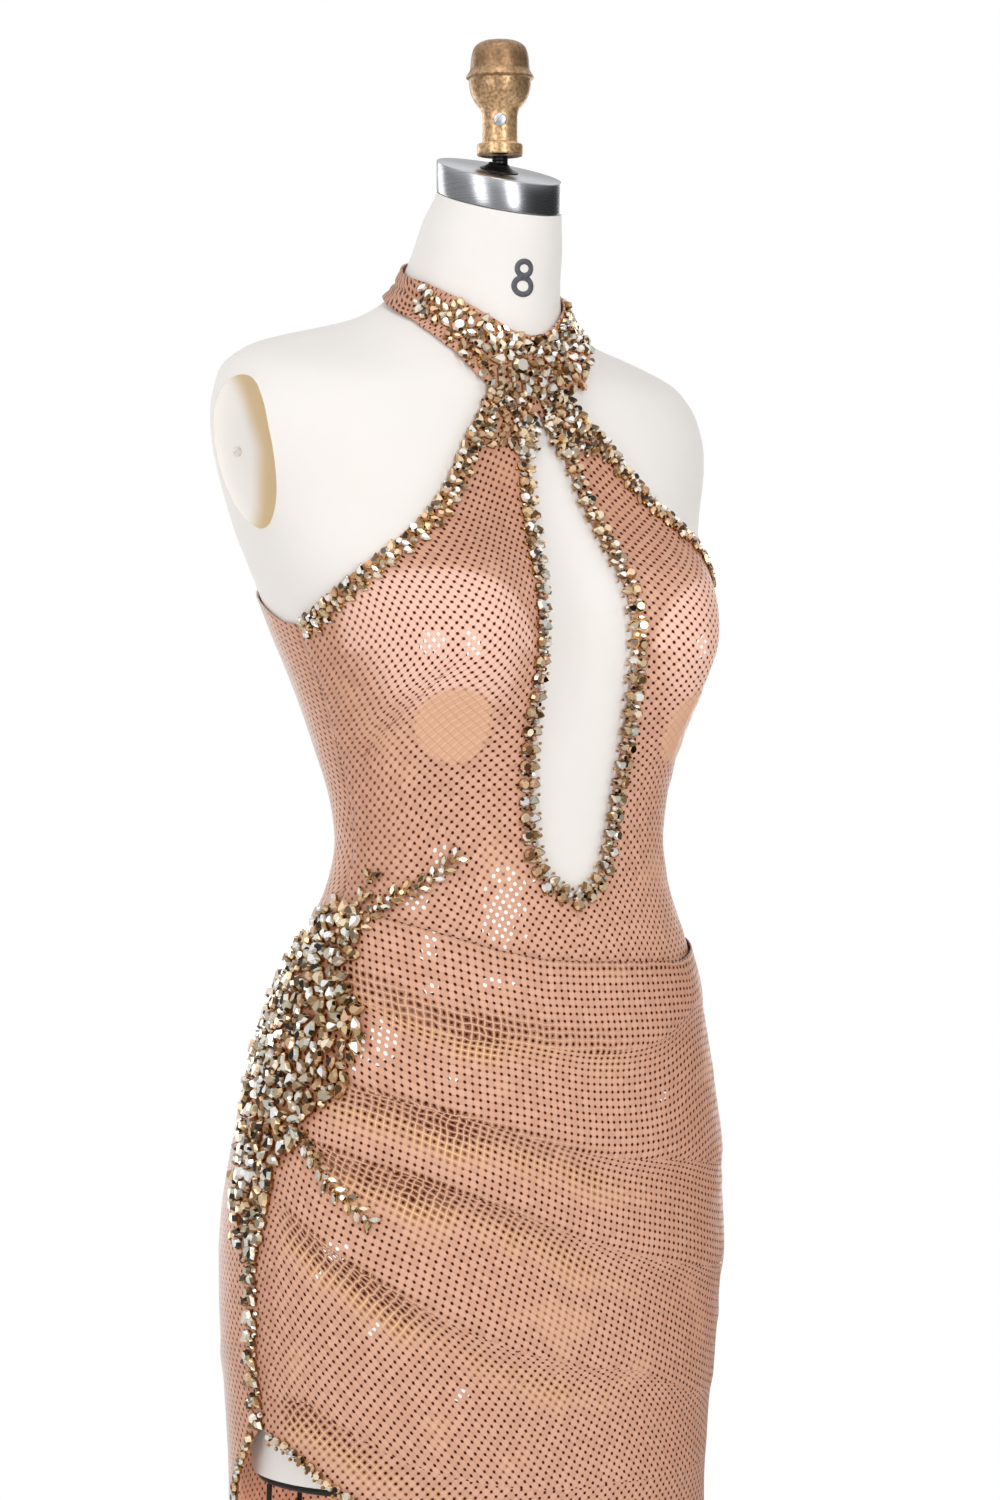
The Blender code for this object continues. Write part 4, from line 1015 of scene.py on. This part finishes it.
def stoneTemplate(width):
    work = bmesh.new()
    bmesh.ops.create_circle(work, cap_ends=True, segments=stoneSides, radius=1)
    for vert in work.verts:
        angle = math.atan2(vert.co.y, vert.co.x)
        x, y = math.cos(angle), math.sin(angle)
        vert.co = (x * 0.42, y * width(x, y) * 0.42, 0)
    lifted = bmesh.ops.extrude_face_region(work, geom=work.faces[:])["geom"]
    top = [item for item in lifted if isinstance(item, bmesh.types.BMFace)]
    for vert in top[0].verts:
        vert.co = (vert.co.x / 0.84, vert.co.y / 0.84, 0.45)
    bmesh.ops.inset_region(work, faces=top, thickness=0.045)
    for face in work.faces:
        face.material_index = 1
    crown = bmesh.ops.inset_region(work, faces=top, thickness=0.14, depth=0.5)["faces"]
    for face in crown + top:
        face.material_index = 0
    bmesh.ops.recalc_face_normals(work, faces=work.faces)
    work.faces.sort(key=facetOrder)
    return takeMesh(work, "stoneTemplate")


templates = {kind: stoneTemplate(width) for kind, width in stoneKinds.items()}
work = bmesh.new()
bmesh.ops.create_icosphere(work, subdivisions=1, radius=0.5)
bmesh.ops.translate(work, verts=work.verts, vec=(0, 0, 0.4))
for face in work.faces:
    face.material_index = 1
templates["bead"] = takeMesh(work, "beadTemplate")


def setStones(name, surface, stones, nodes, seed, lift=0.15, warmth=1.0, flashFrom=99):
    # a stone: level, degree, heading, ahead, aside, turn, kind, length, width, height; warmth: more golden ones
    numbers = np.array([stone[:6] for stone in stones], float)
    level, degree, heading, ahead, aside, turn = numbers.T
    alongAngle, alongLevel = tangents(surface, level, degree)
    right = unit(alongAngle)
    up = np.cross(outward(surface, level, degree), right)
    head = np.radians(heading)[:, None]
    forward = right * np.cos(head) + up * np.sin(head)
    sideways = up * np.cos(head) - right * np.sin(head)
    offset = forward * ahead[:, None] + sideways * aside[:, None]
    square, cross, steep = (alongAngle**2).sum(1), (alongAngle * alongLevel).sum(1), (alongLevel**2).sum(1)
    first, second = (offset * alongAngle).sum(1), (offset * alongLevel).sum(1)
    scale = square * steep - cross**2
    degree = degree + (first * steep - second * cross) / scale
    level = level + (second * square - first * cross) / scale
    normal = outward(surface, level, degree)
    place = surface(level, degree) + normal * lift
    right = unit(tangents(surface, level, degree)[0])
    up = np.cross(normal, right)
    spin = np.radians(heading + turn)[:, None]
    axis = right * np.cos(spin) + up * np.sin(spin)
    across = np.cross(normal, axis)
    work = bmesh.new()
    chance = random.Random(seed)
    facetReflections, tones = [], []
    for number, stone in enumerate(stones):
        kind, length, width, height = stone[6:]
        before = len(work.verts)
        work.from_mesh(templates[kind])
        work.verts.ensure_lookup_table()
        pitch = Matrix.Rotation(math.radians(chance.uniform(-9, 9)), 3, "Y")
        frameMatrix = Matrix((axis[number], across[number], normal[number])).transposed() @ pitch
        shape = frameMatrix @ Matrix.Diagonal((length, width, height))
        for vert in work.verts[before:]:
            vert.co = (shape @ vert.co + Vector(place[number])) * mm
        flashes = length > flashFrom
        tone = chance.uniform(0.45, 0.85) if flashes else chance.random() ** warmth
        for face in templates[kind].polygons:
            # painted highlight: the largest stones' tables get bright tones
            flash = 0.72 if flashes and face.normal.z > 0.99 else 0
            facetReflections.append(flash + chance.random() * (1 - flash))
            tones.append(tone)
    piece = finishPiece(work, name, [crystalMaterial, giltMaterial], nodes, sharpAngle=0)
    setField(piece.data, "facetReflection", "FACE", facetReflections)
    setField(piece.data, "stone", "FACE", tones)
    return piece


def alongCurve(curve, surface, pitch, start=0.0, end=1.0):
    # units' centres and headings, evenly along a curve of (degrees, level)
    run = resample(curve, 3, surface)[2]
    count = max(2, int(run * (end - start) / pitch))
    places = np.linspace(start, end, count)
    degrees, levels = resample(curve, places, surface)[:2]
    aheadDegrees, aheadLevels = resample(curve, np.clip(places + 0.004, 0, 1), surface)[:2]
    backDegrees, backLevels = resample(curve, np.clip(places - 0.004, 0, 1), surface)[:2]
    step = surface(aheadLevels, aheadDegrees) - surface(backLevels, backDegrees)
    right = unit(tangents(surface, levels, degrees)[0])
    up = np.cross(outward(surface, levels, degrees), right)
    headings = np.degrees(np.arctan2((step * up).sum(1), (step * right).sum(1)))
    return list(zip(levels, degrees, headings))


def dress(units, parts, seed, jitter=8, swell=0.08):
    # each unit's stones, a little different every time
    chance = random.Random(seed)
    stones = []
    for level, degree, heading in units:
        for kind, ahead, aside, turn, length, width, height in parts:
            size = 1 + chance.uniform(-swell, swell)
            stones.append((
                level, degree, heading, ahead + chance.uniform(-0.5, 0.5), aside + chance.uniform(-0.5, 0.5),
                turn + chance.uniform(-jitter, jitter), kind, length * size, width * size, height * size,
            ))
    return stones


# parts of a unit: kind, ahead, aside (to the left of the heading), turn, length, width, height
edgeUnit = [
    # beside the keyhole: pears on one side of the line, rounds on the other, beads outside both
    ("pear", 0.8, 3.4, 74, 9.4, 7.0, 4.4), ("round", 0.0, -3.8, 20, 8.2, 8.2, 4.6),
    ("round", 5.7, 1.6, 10, 4.6, 4.6, 3.6), ("navette", 5.6, -3.2, 80, 6.6, 3.4, 3.0),
    ("bead", -2.6, 7.2, 0, 2.4, 2.4, 2.6), ("bead", 2.6, -7.6, 0, 2.2, 2.2, 2.2),
]
halterUnit = [
    ("pear", 2.2, 5.2, 50, 9.6, 6.2, 4.0), ("round", -3.2, 4.6, 0, 7.0, 7.0, 4.2),
    ("navette", -1.4, -0.6, 112, 9.4, 4.6, 3.6), ("round", 4.0, -1.6, 10, 6.0, 6.0, 4.0),
    ("pear", -3.0, -5.4, -64, 8.4, 5.2, 3.6), ("bead", 1.4, -4.8, 0, 3.0, 3.0, 3.0),
    ("bead", 6.2, 2.0, 0, 2.6, 2.6, 2.6),
]
twigUnit = [
    ("navette", 2.4, 3.8, 42, 9.4, 4.6, 3.8), ("navette", 2.4, -3.8, -42, 9.4, 4.6, 3.8),
    ("round", -2.8, 0, 0, 5.0, 5.0, 4.0), ("bead", 1.4, 0, 0, 2.8, 2.8, 3.0), ("bead", 4.2, 6.4, 0, 2.2, 2.2, 2.4),
]
slitUnit = [
    ("round", 0, 0.8, 0, 7.0, 7.0, 4.6), ("round", 4.0, -1.6, 0, 4.2, 4.2, 3.4), ("bead", 0, -4.4, 0, 3.0, 3.0, 3.0),
]
sideUnit = [
    ("round", 0, 0, 0, 8.0, 8.0, 5.2), ("pear", 5.0, 4.8, 50, 10.8, 6.8, 4.4),
    ("pear", 5.0, -4.8, -50, 10.8, 6.8, 4.4),
    ("round", -2.0, 7.4, 0, 4.6, 4.6, 3.6), ("bead", 7.4, 0, 0, 3.2, 3.2, 3.2),
]


def filled(area, levelRange, degreeRange, mmPerDegree, kinds, tries, seed, tight, large=()):
    # stones of each kind in turn, set close together round those already there
    chance = random.Random(seed)
    stones = list(large)
    for kind, length, width, height in kinds:
        for attempt in range(tries):
            level, degree = chance.uniform(*levelRange), chance.uniform(*degreeRange)
            size = chance.uniform(0.88, 1.12)
            reach = (length + width) * size * 0.25
            if area(level, degree) and all(
                math.hypot(level - other[0], (degree - other[1]) * mmPerDegree)
                > (reach + (other[7] + other[8]) * 0.25) * tight for other in stones
            ):
                stones.append((
                    level, degree, chance.uniform(0, 360), 0, 0, 0, kind, length * size, width * size, height * size,
                ))
    return stones


keyholeRight = [(-(degree + 1.4), level) for degree, level in keyholeEdge[1:-1]]
keyholeLoop = keyholeRight + [(0, 1014.5)] + [(-degree, level) for degree, level in keyholeRight[::-1]]
units = alongCurve(keyholeLoop, bodiceSurface, 11.6)
setStones("keyholeTrim", bodiceSurface, dress(units, edgeUnit, 11), ["trim_keyhole"], 12, warmth=1.1)
strapKinds = [("pear", 8.4, 5.4, 3.8), ("round", 6.0, 6.0, 4.2), ("navette", 8.0, 4.2, 3.6), ("round", 4.4, 4.4, 3.4)]
for side, edge, inset, label in ((-1, halterEdge, 2.2, "right"), (1, halterEdgeLeft, 3.4, "left")):
    curve = [(side * (degree - inset), level - 3) for degree, level in edge]
    curve[0] = (side * (edge[0][0] - inset + 0.8), 1377)
    curve = curve if side > 0 else curve[::-1]
    start, end = (0.0, 0.98) if side > 0 else (0.02, 1.0)
    stones = dress(alongCurve(curve, bodiceSurface, 11.6, start, end), halterUnit, 21 + side)
    # more of them where the strap is narrow, up to the keyhole's edge
    more = filled(
        lambda level, degree: 2.0 + (1380 - level) * 0.06 < degree < edge[0][0] - 3 + (1380 - level) * 0.19,
        (1336, 1381), (1, 34), 1.25, strapKinds, 400, 25 + side, 0.72,
    )
    stones += [(level, side * degree, *rest) for level, degree, *rest in more]
    name, node = "halterTrim" + label.capitalize(), "trim_halter_" + label
    setStones(name, bodiceSurface, stones, [node], 31 + side, warmth=1.4)

# the collar's stones: the largest along its middle, small ones packed round them
stones = []
large = [
    # degree, share of the collar's height from its top, turn, kind, length, width
    (-12, 0.54, 0, "round", 13.6, 13.6), (-7, 0.93, 30, "pear", 12.0, 7.4), (9, 0.9, 120, "pear", 11.5, 7.0),
    (-27, 0.6, 100, "pear", 13.0, 8.4), (-30, 0.38, 38, "navette", 12.0, 6.4), (-50, 0.56, 100, "round", 10.4, 10.4),
    (-60, 0.34, 60, "navette", 10.5, 5.4), (-43, 0.3, 20, "pear", 10.5, 6.4), (9, 0.42, 70, "pear", 11.0, 6.6),
    (24, 0.62, 80, "round", 9.6, 9.6), (38, 0.4, 100, "pear", 10.5, 6.2), (48, 0.62, 60, "navette", 10.5, 5.4),
    (62, 0.4, 20, "round", 8.4, 8.4), (-18, 0.3, 130, "navette", 10.0, 5.0), (-76, 0.5, 10, "navette", 9.5, 5.0),
]
for degree, share, turn, kind, length, width in large:
    upper, lower = collarEdges(degree)
    stones.append((upper + (lower - upper) * share, degree, 90, 0, 0, turn, kind, length, width, 5.0))


def onCollar(level, degree):
    upper, lower = collarEdges(degree)
    share = (upper - level) / (upper - lower)
    start = 0.06 if abs(degree) < 60 else 0.2
    end = 0.8 if degree < -58 else 0.98
    return start < share < end


collarKinds = [
    ("pear", 9.4, 6.0, 4.6), ("navette", 9.6, 5.0, 4.2), ("round", 6.0, 6.0, 4.4), ("navette", 7.6, 4.0, 3.6),
    ("round", 4.4, 4.4, 3.6), ("bead", 3.0, 3.0, 3.2),
]
stones = filled(onCollar, (1380, 1440), (-82, 86), 1.0, collarKinds, 900, 43, 0.68, stones)
setStones("collarTrim", fineCollar, stones, ["trim_collar"], 42, warmth=1.3, flashFrom=9.8)

# the spray on the hip: clusters close together, with painted shade on the cloth between them
hipKinds = [
    ("pear", 12.4, 8.2, 5.6), ("navette", 12.6, 6.4, 5.0), ("round", 7.8, 7.8, 5.4), ("navette", 9.6, 5.2, 4.6),
    ("round", 5.2, 5.2, 4.6),
]
stones = filled(
    lambda level, degree: np.interp(level, *hipOutline[:2]) < degree < np.interp(level, hipOutline[0], hipOutline[2]),
    (776, 1012), (-108, -64), 2.7, hipKinds, 900, 51, 0.68,
)
setStones("hipTrim", fineOverlay, stones, ["trim_hip"], 53, 0.6, warmth=0.75)
frontCurve = [(degree + 1.0, level - 1) for degree, level in slitFrontEdge[1:-1]] + [(-45.2, 24)]
backCurve = [(degree + 359.2, level - 1) for degree, level in slitBackEdge[1:-1]] + [(254.8, 24)]
# twigs of stones from the spray, and the lines down the side and the slit's two edges
for name, surface, curves, unitParts, jitter, node, seed in (
    ("hipTwigUpper", fineOverlay, [(hipBranchUp, 8.4), (hipBranchShort, 8)], twigUnit, 14, "trim_hip_upper", 61),
    ("hipTwigLower", fineOverlay, [(hipBranchDown, 8.6)], twigUnit, 14, "trim_hip_lower", 63),
    ("sideTrim", fineOverlay, [(sideLine, 12.6)], sideUnit, 16, "trim_side", 65),
    ("slitFrontTrim", fineOverlay, [(frontCurve, 7.6)], slitUnit, 8, "trim_slit_front", 67),
    ("slitBackTrim", fineBack, [(backCurve, 7.6)], slitUnit, 8, "trim_slit_back", 69),
):
    units = [unitPlace for curve, pitch in curves for unitPlace in alongCurve(curve, surface, pitch)]
    setStones(name, surface, dress(units, unitParts, seed, jitter), [node], seed + 1)
for template in templates.values():
    bpy.data.meshes.remove(template)
print("stones set")


# the form's metal parts
def lathePiece(name, profile, material, node, steps=96, centre=(0, 0), tilt=0.0, sharpAngle=35):
    work = bmesh.new()
    corners = [work.verts.new((radius * mm, 0, height * mm)) for radius, height in profile]
    for first, second in zip(corners, corners[1:]):
        work.edges.new((first, second))
    bmesh.ops.spin(
        work, geom=work.verts[:] + work.edges[:], cent=(0, 0, 0), axis=(0, 0, 1), angle=2 * math.pi, steps=steps,
        use_merge=True,
    )
    bmesh.ops.remove_doubles(work, verts=work.verts, dist=1e-6)
    bmesh.ops.recalc_face_normals(work, faces=work.faces)
    shear = Matrix.Identity(4)
    shear[2][1] = math.tan(math.radians(tilt))
    shift = Matrix.Translation((centre[0] * mm, centre[1] * mm, 0))
    bmesh.ops.transform(work, matrix=shift @ shear, verts=work.verts)
    return finishPiece(work, name, [material], [node], sharpAngle=sharpAngle)


def softProfile(points, steps=6):
    points = np.array(points, float)
    place = np.arange(len(points), dtype=float)
    fine = np.linspace(0, len(points) - 1, steps * (len(points) - 1) + 1)
    return list(zip(columnAt(fine, place, points[:, 0]), columnAt(fine, place, points[:, 1])))


capSet = {"tilt": 17.5, "centre": (0, 1), "edge": 0.9}
capEdge = capSet["edge"]
lathePiece("neckCap", [
    (0, 1494), (capRadius - capEdge, 1494), (capRadius - capEdge * 0.3, 1494.3), (capRadius, 1494 + capEdge),
    (capRadius, capTop - capEdge), (capRadius - capEdge * 0.3, capTop - capEdge * 0.3), (capRadius - capEdge, capTop),
    (0, capTop),
], steelMaterial, "neck_cap", 128, capSet["centre"], capSet["tilt"])
lathePiece("capWasher", [
    (0, 1515.7), (13.2, 1515.7), (13.2, 1516.2), (10.4, 1517.1), (7.6, 1519.2), (7.0, 1520.4), (0, 1520.6),
], blackMaterial, "cap_washer", 64, capSet["centre"], capSet["tilt"])
lathePiece("topRod", [
    (0, 1519.6), (5.2, 1519.6), (5.5, 1520), (5.5, 1521.4), (5.1, 1521.9), (5.5, 1522.4), (5.5, 1523.6),
    (5.1, 1524.1), (5.5, 1524.6), (5.5, 1525.4), (0, 1525.4),
], blackMaterial, "rod_top", 48)
finialFoot = [
    (5.6, 1527.2), (13.4, 1527.0), (14.4, 1525.8), (15.4, 1525.8), (15.9, 1526.6), (15.9, 1532.8), (15.3, 1533.6),
    (13.0, 1534.2), (12.4, 1534.8), (12.2, 1536),
]
finialNeck = softProfile([(12.2, 1536), (12.1, 1545), (12.3, 1554), (13.6, 1558)], 4)
finialBowl = softProfile([(13.6, 1558), (17.6, 1563), (20.2, 1568.5), (21.3, 1574), (21.4, 1577.6)], 5)
finialCrown = [(21.7, 1578.1), (23.3, 1579.0), (23.6, 1579.8), (23.1, 1580.6), (21.2, 1583.6), (20.6, 1585.2)]
finialDome = softProfile([
    (20.6, 1585.2), (20.1, 1591), (19.2, 1596.6), (17.2, 1601), (12.5, 1604.2), (6, 1605.3), (0, 1605.5),
], 5)
lathePiece(
    "finialCast", finialFoot + finialNeck[1:] + finialBowl[1:] + finialCrown + finialDome[1:], finialMaterial,
    "finial", 112, sharpAngle=28,
)

# screws: a domed head with a driver slot pressed in
screwSet = {"slotWidth": 0.16, "slotDepth": 0.45}


def screwPiece(name, centre, direction, radius, height, node, slotTurn, material):
    work = bmesh.new()
    bmesh.ops.create_grid(work, x_segments=28, y_segments=28, size=1)
    for vert in work.verts:
        x, y = vert.co.x, vert.co.y
        reach = max(abs(x), abs(y))
        length = math.hypot(x, y) or 1
        x, y = x / length * reach, y / length * reach
        dome = 0.55 + 0.45 * math.sqrt(max(0.0, 1 - reach**2))
        slotSide = abs(x * math.sin(slotTurn) - y * math.cos(slotTurn))
        if slotSide < screwSet["slotWidth"] and reach < 0.95:
            dome -= screwSet["slotDepth"]
        vert.co = (x * radius * mm, y * radius * mm, dome * height * mm)
    rim = bmesh.ops.extrude_edge_only(work, edges=[edge for edge in work.edges if edge.is_boundary])["geom"]
    for vert in [item for item in rim if isinstance(item, bmesh.types.BMVert)]:
        vert.co.z = -0.2 * mm
    closeGrid(work)
    turnTo = Vector(direction).to_track_quat("Z", "Y").to_matrix().to_4x4()
    bmesh.ops.transform(work, matrix=Matrix.Translation(Vector(centre) * mm) @ turnTo, verts=work.verts)
    return finishPiece(work, name, [material], [node])


aside = math.radians(cameraSide)
screwWay = Vector((math.sin(aside), -math.cos(aside), 0))
finialSeat = screwWay * 12.0 + Vector((0, 0, 1549))
screwPiece("finialScrew", finialSeat, screwWay, 4.5, 2.3, "finial_screw", 0.9, zincMaterial)
for side, label in ((-1, "right"), (1, "left")):
    behind = recess["screw back"]
    reach = recess["reach"] - recess["deep"] + behind * recess["tilt"]
    seat = (side * reach, recess["depth"] + behind, recess["level"])
    facing = (side, -recess["tilt"], -recess["slope"])
    screwPiece("armScrew" + label.capitalize(), seat, facing, 3.4, 1.5, "arm_screw_" + label, 0.4, paintedMaterial)

# pole, plate and wire cage
lathePiece("standPole", [
    (0, 42.4), (12.1, 42.4), (12.5, 42.9), (12.5, 623), (12.1, 623.6), (0, 623.6),
], blackMaterial, "pole", 64)
lathePiece("standPlate", [
    (0, 0), (162, 0), (164.2, 0.8), (165, 3), (165, 9), (164, 11.2), (161, 12)] + softProfile([
        (161, 12), (80, 12.6), (34, 15), (22.5, 22), (20, 39.6)], 6)[1:] + [(17, 42), (0, 42),
], ironMaterial, "base_plate", 128)


def tubePiece(name, path, radius, node, closed, sides=12):
    path = np.array(path, float)
    if closed:
        ahead = unit(np.roll(path, -1, axis=0) - np.roll(path, 1, axis=0))
    else:
        ahead = unit(np.gradient(path, axis=0))
    helper = np.array([0.0, 0, 1]) if closed else np.array([0.3, 1, 0])
    beside = unit(np.cross(ahead, helper))
    above = np.cross(beside, ahead)
    angles = np.linspace(0, 2 * math.pi, sides + 1)
    points = path[:, None] + radius * (
        beside[:, None] * np.cos(angles)[None, :, None] + above[:, None] * np.sin(angles)[None, :, None]
    )
    if closed:
        points = np.concatenate([points, points[:1]])
    work = bmesh.new()
    placedGrid(work, points)
    closeGrid(work)
    return finishPiece(work, name, [blackMaterial], [node], sharpAngle=50)


cageSet = {"top": 621.0, "bottom": 330.0, "ring": 2.4, "wire": 1.9, "count": 8, "in": 5.0, "out": 6.0}
ringDegrees = np.linspace(-180, 180, 96, endpoint=False)
ringLevel = np.full(96, formBottom)
footLine = formSurface(ringLevel, ringDegrees)
footNormal = outward(formSurface, ringLevel, ringDegrees)
for label, inset, height in (("top", cageSet["in"], cageSet["top"]), ("bottom", -cageSet["out"], cageSet["bottom"])):
    loop = footLine - footNormal * inset
    loop[:, 2] = height
    tubePiece("cageRing" + label.capitalize(), loop, cageSet["ring"], "cage_ring_" + label, True)
for number in range(cageSet["count"]):
    degree = np.array([-98.0 + 360 * number / cageSet["count"]])
    foot = formSurface(np.array([formBottom]), degree)[0]
    normal = outward(formSurface, np.array([formBottom]), degree)[0]
    top, bottom = foot - normal * cageSet["in"], foot + normal * cageSet["out"]
    top[2], bottom[2] = cageSet["top"] - cageSet["ring"] - 0.2, cageSet["bottom"] + cageSet["ring"] + 0.2
    part = np.linspace(0, 1, 24)[:, None]
    label = str(number + 1)
    tubePiece("cageWire" + label, top * (1 - part) + bottom * part, cageSet["wire"], "cage_wire_" + label, False)
print("metal made")

# the size number, a plain 8 of two rings, stencilled on the neck
numeralSet = {
    "degree": -6.0, "level": 1457.5, "stroke": 4.0, "thick": 0.15,
    "rings": [(7.5, 6.9, 6.4), (8.5, 7.7, -5.6)],  # half width, half height, rise
}
work = bmesh.new()
for halfWidth, halfHeight, rise in numeralSet["rings"]:
    made = bmesh.ops.create_circle(work, cap_ends=True, segments=40, radius=1)["verts"]
    outer = [face for face in work.faces if set(face.verts) == set(made)]
    for vert in made:
        vert.co = (vert.co.x * halfWidth, vert.co.y * halfHeight + rise, 0)
    bmesh.ops.inset_region(work, faces=outer, thickness=numeralSet["stroke"], use_boundary=True)
    bmesh.ops.delete(work, geom=outer, context="FACES")
bmesh.ops.subdivide_edges(work, edges=work.edges[:], cuts=1, use_grid_fill=True)
flat = np.array([vert.co for vert in work.verts])
numeralLevel = np.full(len(flat), numeralSet["level"])
numeralDegree = np.full(len(flat), numeralSet["degree"])
alongAngle, alongLevel = tangents(formSurface, numeralLevel, numeralDegree)
degrees = numeralDegree + flat[:, 0] / np.linalg.norm(alongAngle[0])
levels = numeralLevel + flat[:, 1] / np.linalg.norm(alongLevel[0])
points = formSurface(levels, degrees) + outward(formSurface, levels, degrees) * (numeralSet["thick"] + 0.1)
for vert, point in zip(work.verts, points):
    vert.co = Vector(point) * mm
for face in work.faces:
    if face.normal.y > 0:
        face.normal_flip()
numeral = finishPiece(work, "sizeNumeral", [inkMaterial], [])
thicken(numeral, numeralSet["thick"])
print("numeral made")

# floor and lights
work = bmesh.new()
bmesh.ops.create_circle(work, cap_ends=True, segments=96, radius=2.6)
bmesh.ops.translate(work, verts=work.verts, vec=(0, 0, -0.0005))
floor = addObject("studioFloor", takeMesh(work, "studioFloor"))
floor.data.materials.append(
    startMaterial("paleStudioFloor", {"Roughness": 0.8, "Base Color": hexColour("#F4F3F2")})[0],
)

lightSet = [
    # name, azimuth, height, aimed at this height, distance, width and height of the box, power, shows in reflections
    ("keyLight", -70, 1.8, 1.1, 2.6, 1.0, 2.0, 21, True), ("fillLight", -10, 1.8, 1.1, 2.7, 0.8, 2.0, 32, True),
    ("backLeft", -172, 1.4, 1.1, 2.6, 1.2, 2.0, 17, True), ("backRight", 125, 1.4, 1.1, 2.8, 1.2, 2.0, 15, True),
    ("topLight", -35, 3.4, 1.1, 0.8, 1.2, 1.2, 9, True), ("washRight", 45, 1.5, 1.1, 2.8, 1.6, 2.0, 24, False),
    ("washLeft", -120, 1.5, 1.1, 2.8, 1.6, 2.0, 10, False),
]
for name, azimuth, height, aim, distance, width, tall, power, shine in lightSet:
    lamp = bpy.data.lights.new(name, "AREA")
    lamp.shape = "RECTANGLE"
    lamp.size = width
    lamp.size_y = tall
    lamp.energy = power
    light = addObject(name, lamp)
    light.visible_glossy = shine
    angle = math.radians(azimuth)
    light.location = (distance * math.sin(angle), -distance * math.cos(angle), height)
    light.rotation_euler = (Vector((0, 0, aim)) - light.location).to_track_quat("-Z", "Y").to_euler()

# the open mesh lets light into the skirt, seen through the slit
glowSet = {"height": 0.42, "power": 1.6, "radius": 0.05}
glowLamp = bpy.data.lights.new("skirtGlow", "POINT")
glowLamp.energy = glowSet["power"]
glowLamp.shadow_soft_size = glowSet["radius"]
glow = addObject("skirtGlow", glowLamp)
glow.visible_glossy = False
glow.visible_camera = False
glow.location = (0, 0, glowSet["height"])

# a white room to the eye; in reflections it darkens towards the wearer's left, so that metal and stones keep contrast
worldSet = {"bright": 0.46, "dark": 0.06, "darkSide": 52, "ceiling": 0.8}
world = bpy.data.worlds.new("studio")
bpy.context.scene.world = world
world.use_nodes = True
worldTree = world.node_tree
way = addNode(worldTree, "TexCoord", output="Generated")
angle = math.radians(worldSet["darkSide"])
sideways = addNode(
    worldTree, "VectorMath", {0: way, 1: (math.sin(angle), -math.cos(angle), 0)},
    operation="DOT_PRODUCT", output="Value",
)
strength = addNode(worldTree, "MapRange", {0: sideways, 1: 0.45, 2: 0.7, 3: worldSet["bright"], 4: worldSet["dark"]})
# flat tops shine: the room's ceiling is brighter, to reflections only
rays = addNode(worldTree, "LightPath").node.outputs
rise = addNode(worldTree, "SeparateXYZ", {0: way}, output=2)
ceiling = addNode(worldTree, "MapRange", {0: rise, 1: 0.3, 2: 0.55, 4: worldSet["ceiling"]})
strength = addNode(worldTree, "Math", {0: ceiling, 1: rays["Is Glossy Ray"], 2: strength}, operation="MULTIPLY_ADD")
roomLight = worldTree.nodes["Background"]
roomLight.inputs["Color"].default_value = hexColour("#FFFFFF")
worldTree.links.new(strength, roomLight.inputs["Strength"])
seenRoom = addNode(worldTree, "Background", {"Color": "#FFFFFF", "Strength": 1.0})
both = addNode(worldTree, "MixShader", {0: rays["Is Camera Ray"], 1: roomLight.outputs[0], 2: seenRoom})
worldTree.links.new(both, worldTree.nodes["World Output"].inputs["Surface"])
bpy.context.scene.view_settings.view_transform = "Standard"  # hex colours come out as they are written
print("lights set")
